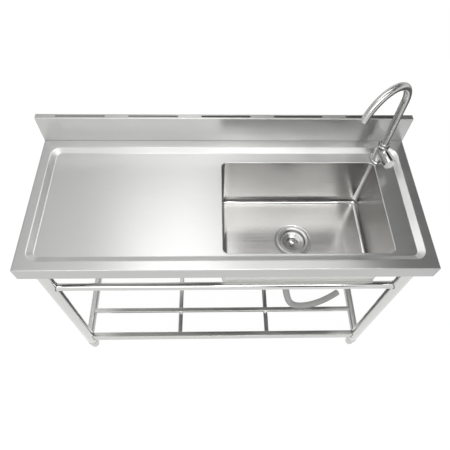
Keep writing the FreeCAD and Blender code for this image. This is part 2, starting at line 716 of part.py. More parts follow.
def build_strainer():
    """Flanged strainer cup, its rubber gasket and lock nut, and the outlet below them."""
    cone_top = "dims.outlet_length + dims.cone_height"
    floor = cone_top + " + dims.cup_depth"
    rim = floor + " + dims.flange_thick"
    ledge = floor + " - dims.ledge_drop"
    cup = turned("strainer_body", (
        ("dims.outlet_bore", "0"),
        ("dims.outlet_radius", "0"),
        ("dims.outlet_radius", "dims.outlet_length"),
        ("dims.thread_radius", cone_top),
        ("dims.thread_radius", floor),
        ("dims.flange_radius", floor),
        ("dims.flange_radius", rim + " - dims.flange_bevel"),
        ("dims.flange_radius - dims.flange_bevel", rim),
        ("dims.dish_radius", rim),
        ("dims.ledge_radius", ledge + " + dims.ledge_wall"),
        ("dims.ledge_radius", ledge),
        ("dims.cup_radius", ledge),
        ("dims.cup_radius", cone_top + " + dims.cup_wall"),
        ("dims.outlet_bore", "dims.outlet_length + dims.cup_wall"),
    ))
    outlet = "%s - (%s)" % (BOWL_FLOOR, floor)
    keep(place(cup, BOWL_X, BOWL_Y, outlet), "strainer_body")
    gasket_bore = "dims.thread_radius + dims.gasket_clearance"
    gasket = ring("strainer_gasket", gasket_bore + " + dims.gasket_width", gasket_bore, "dims.gasket_thick")
    gasket_foot = BOWL_FLOOR + " - dims.sheet_wall - dims.gasket_thick"
    keep(place(gasket, BOWL_X, BOWL_Y, gasket_foot), "strainer_gasket")
    nut_block = prism("strainer_nut_block", 8, "dims.locknut_corner_radius", "dims.locknut_height")
    nut_bore = "dims.thread_radius + dims.thread_clearance"
    thread = cylinder("strainer_nut_thread", nut_bore, "dims.locknut_height")
    nut = cut("strainer_locknut", nut_block, [thread])
    keep(place(nut, BOWL_X, BOWL_Y, gasket_foot + " - dims.locknut_height"), "strainer_locknut")

    cone_foot = "dims.spigot_length"
    cone_head = cone_foot + " + dims.tail_cone"
    neck = cone_head + " + dims.tail_body"
    head = neck + " + dims.tail_flange"
    spigot = "dims.hose_bore - dims.spigot_clearance"
    tail = turned("tailpiece", (
        ("dims.spigot_bore", "0"),
        (spigot, "0"),
        (spigot, cone_foot),
        ("dims.tail_radius", cone_head),
        ("dims.tail_radius", neck),
        ("dims.outlet_radius", neck),
        ("dims.outlet_radius", head),
        ("dims.tail_bore", head),
        ("dims.tail_bore", cone_head + " + dims.cup_wall"),
        ("dims.spigot_bore", cone_foot + " + dims.cup_wall"),
    ))
    tail_foot = "%s - (%s)" % (outlet, head)
    keep(place(tail, BOWL_X, BOWL_Y, tail_foot), "tailpiece")
    nut_height = "dims.coupling_lip + dims.tail_flange + dims.coupling_grip"
    block = prism("coupling_nut_block", 6, "dims.coupling_corner_radius", nut_height)
    mouth = cylinder("coupling_nut_mouth", "dims.tail_radius + dims.coupling_gap", nut_height)
    grip = cylinder("coupling_nut_thread", "dims.outlet_radius + dims.thread_clearance", nut_height)
    place(grip, z="dims.coupling_lip")
    coupling = cut("coupling_nut", block, [mouth, grip])
    coupling_foot = "%s + %s - dims.coupling_lip" % (tail_foot, neck)
    keep(place(coupling, BOWL_X, BOWL_Y, coupling_foot), "coupling_nut")

    band_bore = "dims.hose_radius + dims.weld_gap"
    band = cylinder("clamp_band", band_bore + " + dims.clamp_band", "dims.clamp_width")
    housing = box("clamp_housing", "dims.clamp_housing_width", "dims.clamp_housing_depth", "dims.clamp_width")
    place(housing, "-dims.clamp_housing_width / 2", band_bore)
    clamp_bore = cylinder("clamp_bore", band_bore, "dims.clamp_width")
    clamp = cut("hose_clamp", fuse("clamp_shape", [band, housing]), [clamp_bore])
    clamp_foot = "%s + dims.spigot_length - dims.clamp_drop - dims.clamp_width" % tail_foot
    keep(place(clamp, BOWL_X, BOWL_Y, clamp_foot), "hose_clamp")


def build_basket():
    """Lift-out dished basket with drain holes, the knob on its post and the rubber seal below it."""
    rim = "dims.ledge_radius - dims.basket_clearance"
    depth = "dims.basket_well_depth + dims.basket_cone_height"
    wall = "dims.basket_wall"
    post_hole = "dims.post_radius + dims.thread_clearance"
    body = turned("strainer_basket", (
        (post_hole, "0"),
        ("dims.basket_well_radius", "0"),
        ("dims.basket_well_radius", "dims.basket_well_depth"),
        (rim + " - dims.basket_rim", depth),
        (rim, depth),
        (rim, depth + " + dims.basket_wall"),
        (rim + " - dims.basket_rim", depth + " + dims.basket_wall"),
        ("dims.basket_well_radius - dims.basket_wall", "dims.basket_well_depth + dims.basket_wall"),
        ("dims.basket_well_radius - dims.basket_wall", wall),
        (post_hole, wall),
    ))
    circles = (
        ("outer", "dims.basket_hole_circle", "dims.basket_hole_count", depth),
        ("inner", "dims.basket_inner_circle", "dims.basket_inner_count", wall),
    )
    for name, circle, count, height in circles:
        outline = new_sketch(body, name + "_hole_outline", z=height)
        draw_circle(outline, "dims.basket_hole_radius", circle)
        hole = pocket(body, name + "_hole", outline, depth)
        document.recompute()
        pattern = body.newObject("PartDesign::PolarPattern", name + "_holes")
        pattern.Originals = [hole]
        pattern.Axis = (outline, ["N_Axis"])
        pattern.Angle = 360
        pattern.setExpression("Occurrences", count)
        body.Tip = pattern
    foot = "%s - (%s)" % (LEDGE, depth)
    keep(place(body, BOWL_X, BOWL_Y, foot), "strainer_basket")

    seat = "dims.post_head_height + dims.seal_thick"
    knob_foot = seat + " + dims.post_height"
    knob_top = knob_foot + " + dims.knob_height"
    knob = turned("basket_knob", (
        ("0", "0"),
        ("dims.post_head_radius", "0"),
        ("dims.post_head_radius", "dims.post_head_height"),
        ("dims.post_radius", "dims.post_head_height"),
        ("dims.post_radius", knob_foot),
        ("dims.knob_radius", knob_foot),
        ("dims.knob_radius", knob_top),
        ("0", knob_top + " + dims.knob_crown"),
    ))
    keep(place(knob, BOWL_X, BOWL_Y, "%s - (%s)" % (foot, seat)), "basket_knob")
    seal = ring("basket_seal", "dims.seal_radius", post_hole, "dims.seal_thick")
    keep(place(seal, BOWL_X, BOWL_Y, foot + " - dims.seal_thick"), "basket_seal")


def build_tap_mounting():
    """What fixes the tap to the deck: gasket, base ring, threaded shank, washer and lock nut."""
    bore = "dims.shank_radius + dims.shank_clearance"
    gasket = ring("tap_gasket", "dims.tap_gasket_radius", bore, "dims.tap_gasket_thick")
    keep(place(gasket, TAP_X, TAP_Y, DECK), "tap_gasket")
    base = turned("tap_base", (
        (bore, "0"),
        ("dims.tap_base_radius", "0"),
        ("dims.tap_base_radius", "dims.tap_base_height - dims.tap_base_edge"),
        ("dims.tap_base_radius - dims.tap_base_edge", "dims.tap_base_height"),
        (bore, "dims.tap_base_height"),
    ))
    keep(place(base, TAP_X, TAP_Y, DECK + " + dims.tap_gasket_thick"), "tap_base")
    shank_top = "dims.inlet_length + dims.shank_length"
    shank = turned("tap_shank", (
        ("dims.shank_bore", "0"),
        ("dims.inlet_radius", "0"),
        ("dims.inlet_radius", "dims.inlet_length"),
        ("dims.shank_radius", "dims.inlet_length"),
        ("dims.shank_radius", shank_top),
        ("dims.shank_bore", shank_top),
    ))
    body_foot = DECK + " + dims.tap_gasket_thick + dims.tap_base_height"
    keep(place(shank, TAP_X, TAP_Y, "%s - (%s)" % (body_foot, shank_top)), "tap_shank")
    washer = ring("tap_washer", "dims.tap_washer_radius", bore, "dims.tap_washer_thick")
    washer_foot = DECK_UNDERSIDE + " - dims.tap_washer_thick"
    keep(place(washer, TAP_X, TAP_Y, washer_foot), "tap_washer")
    block = prism("tap_nut_block", 6, "dims.tap_nut_corner_radius", "dims.tap_nut_height")
    thread = cylinder("tap_nut_thread", "dims.shank_radius + dims.thread_clearance", "dims.tap_nut_height")
    nut = cut("tap_locknut", block, [thread])
    keep(place(nut, TAP_X, TAP_Y, washer_foot + " - dims.tap_nut_height"), "tap_locknut")
    return body_foot


def build_tap_body(body_foot):
    """Upright body with a side branch for the valve, and the collar that keeps the spout in."""
    forward = FreeCAD.Rotation(ABOUT_X, 90)
    barrel = cylinder("tap_barrel", "dims.tap_body_radius", "dims.tap_body_height")
    branch = cylinder("tap_branch", "dims.branch_radius", "dims.branch_reach")
    place(branch, z="dims.branch_height", rotation=forward)
    seat = "dims.tap_body_height - dims.spout_seat"
    spout_bore = cylinder("spout_bore", "dims.spout_radius + dims.spout_clearance", "dims.spout_seat")
    place(spout_bore, z=seat)
    waterway = cylinder("waterway", "dims.waterway_radius", seat)
    chamber_length = "dims.cartridge_length + dims.cartridge_nut_length"
    chamber = cylinder("valve_chamber", "dims.cartridge_radius + dims.cartridge_clearance", chamber_length)
    place(chamber, y="-(dims.branch_reach - (%s))" % chamber_length, z="dims.branch_height", rotation=forward)
    port = cylinder("valve_port", "dims.spindle_radius", "dims.branch_reach")
    place(port, z="dims.branch_height", rotation=forward)
    body = cut("tap_body", fuse("tap_castings", [barrel, branch]), [spout_bore, waterway, chamber, port])
    keep(place(body, TAP_X, TAP_Y, body_foot, FreeCAD.Rotation(ABOUT_Z, dims.handle_angle)), "tap_body")
    collar_bore = "dims.spout_radius + dims.collar_clearance"
    collar = ring("spout_collar", "dims.collar_radius", collar_bore, "dims.collar_height")
    keep(place(collar, TAP_X, TAP_Y, body_foot + " + dims.tap_body_height"), "spout_collar")


def build_tap_valve(body_foot):
    """Quarter-turn valve in the branch, and the round handle that turns it."""
    angle = math.radians(dims.handle_angle)
    forward = FreeCAD.Rotation(ABOUT_Z, FreeCAD.Vector(math.sin(angle), -math.cos(angle), 0))
    height = body_foot + " + dims.branch_height"

    def on_branch(item, reach, label):
        """Stand a piece on the branch's axis, its foot at a distance from the tap's axis."""
        x = "%s + (%s) * sin(dims.handle_angle * 1deg)" % (TAP_X, reach)
        y = "%s - (%s) * cos(dims.handle_angle * 1deg)" % (TAP_Y, reach)
        keep(place(item, x, y, height, forward), label)

    spindle_bore = "dims.spindle_radius + dims.spindle_clearance"
    nut_reach = "dims.branch_reach - dims.cartridge_nut_length"
    cartridge_reach = nut_reach + " - dims.cartridge_length"
    cartridge = ring("valve_cartridge", "dims.cartridge_radius", spindle_bore, "dims.cartridge_length")
    on_branch(cartridge, cartridge_reach, "valve_cartridge")
    nut = ring("cartridge_nut", "dims.cartridge_radius", spindle_bore, "dims.cartridge_nut_length")
    on_branch(nut, nut_reach, "cartridge_nut")
    spindle = cylinder("valve_spindle", "dims.spindle_radius", "dims.spindle_length")
    on_branch(spindle, cartridge_reach, "valve_spindle")

    handle_reach = "dims.branch_reach + dims.handle_gap"
    socket = cartridge_reach + " + dims.spindle_length - (%s)" % handle_reach
    face = "dims.handle_length"
    recess = face + " - dims.handle_cap_thick"
    cap_bore = "dims.handle_cap_radius + dims.cartridge_clearance"
    pocket_floor = recess + " - dims.handle_pocket_depth"
    screw_bore = "dims.handle_screw_radius + dims.cartridge_clearance"
    handle = turned("tap_handle", (
        (spindle_bore, "0"),
        ("dims.handle_radius", "0"),
        ("dims.handle_radius", face + " - dims.handle_edge"),
        ("dims.handle_radius - dims.handle_edge", face),
        (cap_bore, face),
        (cap_bore, recess),
        ("dims.handle_pocket_radius", recess),
        ("dims.handle_pocket_radius", pocket_floor),
        (screw_bore, pocket_floor),
        (screw_bore, socket),
        (spindle_bore, socket),
    ))
    on_branch(handle, handle_reach, "tap_handle")
    screw_length = "%s - (%s)" % (pocket_floor, socket)
    screw_top = screw_length + " + dims.handle_head_height"
    screw = turned("handle_screw", (
        ("0", "0"),
        ("dims.handle_screw_radius", "0"),
        ("dims.handle_screw_radius", screw_length),
        ("dims.handle_head_radius", screw_length),
        ("dims.handle_head_radius", screw_top),
        ("0", screw_top),
    ))
    on_branch(screw, cartridge_reach + " + dims.spindle_length", "handle_screw")
    cap = cylinder("handle_cap", "dims.handle_cap_radius", "dims.handle_cap_thick")
    on_branch(cap, "%s + %s" % (handle_reach, recess), "handle_cap")


def build_spout(body_foot):
    """Gooseneck tube that turns in the body, and the aerator in its mouth."""
    body = new_body("tap_spout")
    section = new_sketch(body, "spout_section")
    draw_circle(section, "dims.spout_radius")
    draw_circle(section, "dims.spout_radius - dims.spout_wall")
    route = new_sketch(body, "spout_route", "XZ_Plane")
    rise, radius = 200.0, 80.0
    riser = route.addGeometry(Part.LineSegment(FreeCAD.Vector(), FreeCAD.Vector(0, rise, 0)))
    circle = Part.Circle(FreeCAD.Vector(radius, rise, 0), FreeCAD.Vector(0, 0, 1), radius)
    bend = route.addGeometry(Part.ArcOfCircle(circle, math.radians(20), math.pi))
    route.addConstraint(Sketcher.Constraint("Coincident", riser, 1, -1, 1))
    route.addConstraint(Sketcher.Constraint("Vertical", riser))
    route.addConstraint(Sketcher.Constraint("Tangent", riser, 2, bend, 2))
    bind(route, Sketcher.Constraint("DistanceY", riser, 1, riser, 2, rise), "dims.spout_rise")
    bind(route, Sketcher.Constraint("Radius", bend, radius), "dims.spout_arc_radius")
    end_drop = "dims.spout_rise + dims.spout_arc_radius * sin(dims.spout_sweep * 1deg)"
    bind(route, Sketcher.Constraint("DistanceY", -1, 1, bend, 1, rise), end_drop)
    tube = body.newObject("PartDesign::AdditivePipe", "gooseneck")
    tube.Profile = section
    tube.Spine = (route, ["Edge1", "Edge2"])
    seat = body_foot + " + dims.tap_body_height - dims.spout_seat"
    heading = 180 + dims.spout_angle
    keep(place(body, TAP_X, TAP_Y, seat, FreeCAD.Rotation(ABOUT_Z, heading)), "tap_spout")

    insert_radius = "dims.spout_radius - dims.spout_wall - dims.aerator_clearance"
    aerator = turned("aerator", (
        ("dims.aerator_bore", "0"),
        ("dims.spout_radius", "0"),
        ("dims.spout_radius", "dims.aerator_rim"),
        (insert_radius, "dims.aerator_rim"),
        (insert_radius, "dims.aerator_rim + dims.aerator_depth"),
        ("dims.aerator_bore", "dims.aerator_rim + dims.aerator_depth"),
    ))
    tilt = 180 - dims.spout_sweep
    upright = FreeCAD.Rotation(ABOUT_Z, heading).multiply(FreeCAD.Rotation(ABOUT_Y, -tilt))
    sweep = "(dims.spout_sweep * 1deg)"
    rim = "dims.aerator_rim"
    out = "dims.spout_arc_radius * (1 - cos%s) + %s * sin%s" % (sweep, rim, sweep)
    drop = "dims.spout_arc_radius * sin%s + %s * cos%s" % (sweep, rim, sweep)
    x = "%s - (%s) * cos(dims.spout_angle * 1deg)" % (TAP_X, out)
    y = "%s - (%s) * sin(dims.spout_angle * 1deg)" % (TAP_Y, out)
    keep(place(aerator, x, y, "%s + dims.spout_rise + %s" % (seat, drop), upright), "aerator")


def hose_wire():
    """The hose's centre line: straight runs joined by the largest tangent arcs that fit."""
    points = [FreeCAD.Vector(*point) for point in HOSE_POINTS]
    edges = []
    start = points[0]
    for before, corner, after in zip(points, points[1:], points[2:]):
        back = (before - corner).normalize()
        onward = (after - corner).normalize()
        half_turn = (math.pi - back.getAngle(onward)) / 2
        reach = ARC_SHARE * min(corner.distanceToPoint(before), corner.distanceToPoint(after))
        radius = reach / math.tan(half_turn)
        arc_start = corner + back * reach
        arc_end = corner + onward * reach
        inward = (back + onward).normalize()
        centre = corner + inward * (radius / math.cos(half_turn))
        arc_middle = centre - inward * radius
        edges.append(Part.makeLine(start, arc_start))
        edges.append(Part.Arc(arc_start, arc_middle, arc_end).toShape())
        print("hose arc radius %.1f mm, turn %.1f degrees" % (radius, math.degrees(2 * half_turn)))
        start = arc_end
    edges.append(Part.makeLine(start, points[-1]))
    return Part.Wire(edges)


def build_hose():
    """Plain drain hose with its bore, pushed on the spigot."""
    route = hose_wire()
    start = FreeCAD.Vector(*HOSE_POINTS[0])
    heading = FreeCAD.Vector(*HOSE_POINTS[1]) - start
    tubes = []
    for radius in (dims.hose_radius, dims.hose_bore):
        section = Part.Wire([Part.makeCircle(radius, start, heading)])
        tubes.append(route.makePipeShell([section], True, False))
    shape = tubes[0].cut(tubes[1])
    expected = math.pi * (dims.hose_radius ** 2 - dims.hose_bore ** 2) * route.Length
    filled = shape.Volume / expected
    print("hose length %.1f mm, volume over section times length %.4f" % (route.Length, filled))
    hose = document.addObject("Part::Feature", "drain_hose")
    hose.Shape = shape
    hose.Placement = FreeCAD.Placement()
    keep(hose, "drain_hose")


build_worktop()
build_backsplash()
build_bowl()
build_underside()
build_legs()
build_front_rail()
build_shelf()
build_strainer()
build_basket()
tap_body_foot = build_tap_mounting()
build_tap_body(tap_body_foot)
build_tap_valve(tap_body_foot)
build_spout(tap_body_foot)
build_hose()
document.recompute()

for item in document.Objects:
    if "Invalid" in item.State or "Error" in item.State:
        raise RuntimeError("%s failed: %s" % (item.Name, item.State))
for item in sub_parts:
    if item.Shape.isNull() or not item.Shape.isValid():
        raise RuntimeError("%s has no valid shape" % item.Label)

os.makedirs("parts", exist_ok=True)
for item in sub_parts:
    item.Shape.exportStep("parts/%s.step" % item.Label)
print("%d sub-parts written" % len(sub_parts))
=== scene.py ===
import math

import bmesh
import bpy
from mathutils import Matrix, Vector


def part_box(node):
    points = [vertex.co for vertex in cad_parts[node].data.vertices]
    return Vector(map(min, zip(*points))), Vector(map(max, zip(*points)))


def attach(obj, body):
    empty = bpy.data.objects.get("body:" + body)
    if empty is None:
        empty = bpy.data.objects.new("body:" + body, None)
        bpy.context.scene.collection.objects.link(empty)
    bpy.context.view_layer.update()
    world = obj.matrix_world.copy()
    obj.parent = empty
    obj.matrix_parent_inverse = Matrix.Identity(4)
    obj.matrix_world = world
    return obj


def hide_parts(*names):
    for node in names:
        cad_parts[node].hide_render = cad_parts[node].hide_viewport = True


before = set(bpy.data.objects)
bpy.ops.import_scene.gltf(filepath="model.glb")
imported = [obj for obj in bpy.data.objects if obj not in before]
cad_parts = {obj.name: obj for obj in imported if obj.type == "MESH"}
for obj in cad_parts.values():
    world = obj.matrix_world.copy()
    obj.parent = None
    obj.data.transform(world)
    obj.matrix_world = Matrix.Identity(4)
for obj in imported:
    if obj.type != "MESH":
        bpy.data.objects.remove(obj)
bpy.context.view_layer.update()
scene = bpy.context.scene
scene.view_settings.view_transform = "Standard"


# Camera: a square picture taken from above the sink's front edge, looking down on the worktop.
# It leans a little to one side, as a camera held by hand does.
camera_place = Vector((-0.0406, -0.7798, 1.8933))
camera_pitch = math.radians(58.207)
camera_yaw = math.radians(2.858)
camera_roll = math.radians(2.246)
camera_data = bpy.data.cameras.new("camera")
camera_data.lens = 34.84
camera_data.sensor_width = 36.0
camera = bpy.data.objects.new("camera", camera_data)
camera.matrix_world = (
    Matrix.Translation(camera_place)
    @ Matrix.Rotation(-camera_yaw, 4, "Z")
    @ Matrix.Rotation(math.pi / 2 - camera_pitch, 4, "X")
    @ Matrix.Rotation(camera_roll, 4, "Z")
)
scene.collection.objects.link(camera)
scene.camera = camera


# Studio: a white floor in a white room, with softboxes overhead: behind the drainboard, before the
# bowl, behind it and at the front left. Flags of pale to black cloth, which only the steel's
# reflections see, give it darker places to mirror.
def linear(colour):
    """An sRGB hex colour as linear red, green, blue and alpha."""
    channels = []
    for start in (1, 3, 5):
        value = int(colour[start:start + 2], 16) / 255
        channels.append(value / 12.92 if value <= 0.04045 else ((value + 0.055) / 1.055) ** 2.4)
    return (*channels, 1.0)


def add_node(tree, kind, inputs=None, **settings):
    """Add a node, set its settings, then fill each input with a value or a link from another node."""
    node = tree.nodes.new(kind)
    for name, value in settings.items():
        setattr(node, name, value)
    for name, value in (inputs or {}).items():
        if isinstance(value, tuple) and isinstance(value[0], bpy.types.Node):
            tree.links.new(value[0].outputs[value[1]], node.inputs[name])
        else:
            node.inputs[name].default_value = value
    return node


def seen_directly(tree):
    """One where a ray comes from the camera, a reflection or a refraction, and zero elsewhere."""
    path = add_node(tree, "ShaderNodeLightPath")
    shiny = add_node(tree, "ShaderNodeMath", {
        0: (path, "Is Glossy Ray"), 1: (path, "Is Transmission Ray"),
    }, operation="MAXIMUM")
    return add_node(tree, "ShaderNodeMath", {
        0: (path, "Is Camera Ray"), 1: (shiny, 0),
    }, operation="MAXIMUM")


def empty_material(name):
    material = bpy.data.materials.new(name)
    material.use_nodes = True
    material.node_tree.nodes.clear()
    return material


def flat_panel(name, low, high, material):
    """A level or upright rectangle between two opposite corners, as a part of the studio."""
    (left, front, foot), (right, rear, head) = low, high
    if foot == head:
        corners = [(left, front, foot), (right, front, foot), (right, rear, foot), (left, rear, foot)]
    else:
        corners = [(left, front, foot), (right, rear, foot), (right, rear, head), (left, front, head)]
    mesh = bpy.data.meshes.new(name)
    mesh.from_pydata(corners, [], [(0, 1, 2, 3)])
    mesh.materials.append(material)
    panel = bpy.data.objects.new(name, mesh)
    scene.collection.objects.link(panel)
    return panel


white = (1.0, 1.0, 1.0, 1.0)
room_light = 0.8
world = bpy.data.worlds.new("white_room")
world.use_nodes = True
room = world.node_tree
room.nodes.clear()
room_seen = seen_directly(room)
room_dim = add_node(room, "ShaderNodeBackground", {"Color": white, "Strength": room_light})
room_white = add_node(room, "ShaderNodeBackground", {"Color": white, "Strength": 1.0})
room_mix = add_node(room, "ShaderNodeMixShader", {
    0: (room_seen, 0), 1: (room_dim, 0), 2: (room_white, 0),
})
add_node(room, "ShaderNodeOutputWorld", {"Surface": (room_mix, 0)})
scene.world = world

# Matt floor paint: white where it is seen or mirrored, with a trace of the sink's shadow.
floor_shadow_share = 0.08
floor_reach = 8.0
floor_level = -0.0005
floor_paint = empty_material("floor_paint")
floor_tree = floor_paint.node_tree
floor_seen = seen_directly(floor_tree)
floor_share = add_node(floor_tree, "ShaderNodeMath", {
    0: (floor_seen, 0), 1: 1 - floor_shadow_share,
}, operation="MULTIPLY")
floor_matt = add_node(floor_tree, "ShaderNodeBsdfDiffuse", {"Color": linear("#F2F2F2")})
floor_glow = add_node(floor_tree, "ShaderNodeEmission", {"Color": white, "Strength": 1.03})
floor_mix = add_node(floor_tree, "ShaderNodeMixShader", {
    0: (floor_share, 0), 1: (floor_matt, 0), 2: (floor_glow, 0),
})
add_node(floor_tree, "ShaderNodeOutputMaterial", {"Surface": (floor_mix, 0)})
flat_panel(
    "floor", (-floor_reach, -floor_reach, floor_level), (floor_reach, floor_reach, floor_level), floor_paint,
)


def flag_cloth(name, tone):
    """Flag cloth: one even grey, with no shine of its own."""
    cloth = empty_material(name)
    glow = add_node(cloth.node_tree, "ShaderNodeEmission", {"Color": linear(tone), "Strength": 1.0})
    add_node(cloth.node_tree, "ShaderNodeOutputMaterial", {"Surface": (glow, 0)})
    return cloth


pale_cloth = flag_cloth("pale_flag_cloth", "#C8C8C8")
grey_cloth = flag_cloth("grey_flag_cloth", "#B0B0B0")
dark_cloth = flag_cloth("dark_flag_cloth", "#686868")
black_cloth = flag_cloth("black_flag_cloth", "#303030")
for flag_name, flag_low, flag_high, cloth in (
    ("right_flag", (2.0, -1.2, 1.8), (2.0, 4.0, 5.5), dark_cloth),
    ("rear_flag", (-3.0, 1.9, 3.0), (0.35, 2.8, 3.0), grey_cloth),
    ("deck_flag", (-1.1, 1.4, 3.0), (0.2, 1.9, 3.0), pale_cloth),
    ("corner_flag", (0.35, 1.6, 3.0), (2.0, 2.9, 3.0), black_cloth),
    ("bowl_flag", (0.2, 1.1, 3.0), (2.0, 1.6, 3.0), dark_cloth),
    ("left_flag", (-2.2, -0.5, 0.9), (-2.2, 4.0, 4.0), pale_cloth),
    ("front_flag", (0.5, -2.3, 1.2), (1.45, -2.3, 4.2), dark_cloth),
    ("camera_flag", (0.2, -2.6, 3.0), (1.6, -1.5, 3.0), black_cloth),
    ("floor_flag", (-0.3, 0.35, 0.002), (4.0, 5.0, 0.002), black_cloth),
    ("spout_flag", (1.4, -2.6, 0.002), (6.0, 0.35, 0.002), dark_cloth),
    ("slope_flag", (0.45, -0.7, 2.99), (1.6, 0.1, 2.99), dark_cloth),
    # This panel is a painted shadow: a dark sheet on the floor beneath the sink, standing for the sink's
    # shadow, that only the steel's reflections see.
    ("painted_floor_shadow", (-0.5, -0.16, 0.003), (0.5, 0.34, 0.003), dark_cloth),
):
    flag = flat_panel(flag_name, flag_low, flag_high, cloth)
    flag.visible_camera = False
    flag.visible_diffuse = False
    flag.visible_shadow = False

# Each softbox: its place, the point that it faces, its turn in degrees, width, depth and watts.
for lamp_name, lamp_place, lamp_target, lamp_turn, lamp_width, lamp_depth, lamp_power in (
    ("top_softbox", (-0.35, 0.72, 3.0), (-0.35, 0.71, 0.0), 30.0, 1.0, 1.0, 7.4),
    ("front_softbox", (0.7, -1.2, 3.0), (0.7, -1.19, 0.0), 0.0, 1.4, 0.6, 21.0),
    ("side_softbox", (0.75, 0.62, 3.0), (0.75, 0.61, 0.0), 0.0, 0.9, 0.4, 3.0),
    ("left_softbox", (-0.8, -2.05, 3.0), (-0.3, 0.2, 0.8), 0.0, 2.1, 1.2, 21.0),
):
    lamp_data = bpy.data.lights.new(lamp_name, "AREA")
    lamp_data.shape = "RECTANGLE"
    lamp_data.size = lamp_width
    lamp_data.size_y = lamp_depth
    lamp_data.energy = lamp_power
    lamp = bpy.data.objects.new(lamp_name, lamp_data)
    lamp_aim = (Vector(lamp_target) - Vector(lamp_place)).to_track_quat("-Z", "Y").to_matrix().to_4x4()
    lamp_spin = Matrix.Rotation(math.radians(lamp_turn), 4, "Z")
    lamp.matrix_world = Matrix.Translation(lamp_place) @ lamp_aim @ lamp_spin
    scene.collection.objects.link(lamp)


# Worktop: one stainless sheet, pressed with a shallow recess, folded down into an apron all round
# and rolled into the bowl's opening. The sheet is brushed along its length after pressing.
def two_tones(colour, contrast):
    """A darker and a lighter tone of one colour."""
    base = linear(colour)[:3]
    return [(*(min(1.0, channel * share) for channel in base), 1.0) for share in (1 - contrast, 1 + contrast)]


def steel_finish(
    name, colour, roughness, grain, axis="", turned=False, anisotropy=0.6, contrast=0.06, painted_shade_share=1.0,
):
    """Brushed stainless steel (18/8): neutral grey metal whose fine scratches, all one way, spread
    reflections across them. grain is the scratches' length along X, Y and Z in metres, drawn about
    three times as wide as real so that they show. The brushing follows the axis, or runs round it
    where the piece was turned; with no axis it runs level along each face, and on a bent tube it runs
    round the tube's path. Where the piece is marked as polished it is shinier. A painted shade share
    below one also paints shade: where the piece is unpolished its colour is darkened down to that share."""
    material = empty_material(name)
    tree = material.node_tree
    place = add_node(tree, "ShaderNodeTexCoord")
    scratch_map = add_node(tree, "ShaderNodeMapping", {
        "Vector": (place, "Object"), "Scale": tuple(1 / length for length in grain),
    })
    scratches = add_node(tree, "ShaderNodeTexNoise", {
        "Vector": (scratch_map, 0), "Scale": 1.0, "Detail": 3.0, "Roughness": 0.6,
    })
    smudge_size = 0.22
    smudges = add_node(tree, "ShaderNodeTexNoise", {
        "Vector": (place, "Object"), "Scale": 1 / smudge_size, "Detail": 2.0, "Roughness": 0.5,
    })
    dull, bright = two_tones(colour, contrast)
    tint = add_node(tree, "ShaderNodeMix", {
        "Factor": (scratches, 0), 6: dull, 7: bright,
    }, data_type="RGBA")
    rough_spread = 0.25 * roughness
    scratch_rough = add_node(tree, "ShaderNodeMapRange", {
        "Value": (scratches, 0), "From Min": 0.3, "From Max": 0.7,
        "To Min": roughness - rough_spread / 2, "To Max": roughness + rough_spread / 2,
    })
    smudge_rough = add_node(tree, "ShaderNodeMapRange", {
        "Value": (smudges, 0), "From Min": 0.35, "From Max": 0.7, "To Min": -0.015, "To Max": 0.025,
    })
    worn = add_node(tree, "ShaderNodeMath", {
        0: (scratch_rough, 0), 1: (smudge_rough, 0),
    }, operation="ADD")
    polish = add_node(tree, "ShaderNodeAttribute", attribute_name="polish")
    gloss = add_node(tree, "ShaderNodeMapRange", {
        "Value": (polish, "Fac"), "From Min": 0.0, "From Max": 1.0, "To Min": 1.0, "To Max": 0.3,
    })
    rough = add_node(tree, "ShaderNodeMath", {0: (worn, 0), 1: (gloss, 0)}, operation="MULTIPLY")
    relief = add_node(tree, "ShaderNodeBump", {
        "Height": (scratches, 0), "Strength": 0.015, "Distance": 0.0002,
    })
    if axis == "path":
        path_way = add_node(tree, "ShaderNodeAttribute", attribute_name="path_way")
        spread = add_node(tree, "ShaderNodeVectorTransform", {
            "Vector": (path_way, "Vector"),
        }, vector_type="VECTOR", convert_from="OBJECT", convert_to="WORLD")
    elif axis:
        spread = add_node(tree, "ShaderNodeTangent", direction_type="RADIAL", axis=axis)
    else:
        facing = add_node(tree, "ShaderNodeNewGeometry")
        facing_parts = add_node(tree, "ShaderNodeSeparateXYZ", {"Vector": (facing, "Normal")})
        sideways = add_node(tree, "ShaderNodeMath", {0: (facing_parts, 0)}, operation="ABSOLUTE")
        end_facing = 0.75
        end_face = add_node(tree, "ShaderNodeMath", {
            0: (sideways, 0), 1: end_facing,
        }, operation="GREATER_THAN")
        along = add_node(tree, "ShaderNodeMix", {
            "Factor": (end_face, 0), 4: (1.0, 0.0, 0.0), 5: (0.0, 1.0, 0.0),
        }, data_type="VECTOR")
        spread = add_node(tree, "ShaderNodeVectorMath", {
            0: (facing, "Normal"), 1: (along, 1),
        }, operation="CROSS_PRODUCT")
    # Painted shade: where the piece is unpolished its colour is darkened, down to the given share.
    if painted_shade_share < 1.0:
        painted_shade = add_node(tree, "ShaderNodeMapRange", {
            "Value": (polish, "Fac"), "From Min": 0.0, "From Max": 0.5, "To Min": painted_shade_share, "To Max": 1.0,
        })
        tint = add_node(tree, "ShaderNodeMix", {
            "Factor": 1.0, 6: (tint, 2), 7: (painted_shade, 0),
        }, data_type="RGBA", blend_type="MULTIPLY")
    quarter_turn = 0.25
    shader = add_node(tree, "ShaderNodeBsdfPrincipled", {
        "Base Color": (tint, 2), "Metallic": 1.0, "Roughness": (rough, 0), "Normal": (relief, 0),
        "Anisotropic": anisotropy, "Anisotropic Rotation": quarter_turn if turned else 0.0,
        "Tangent": (spread, 0),
    })
    add_node(tree, "ShaderNodeOutputMaterial", {"Surface": (shader, 0)})
    return material


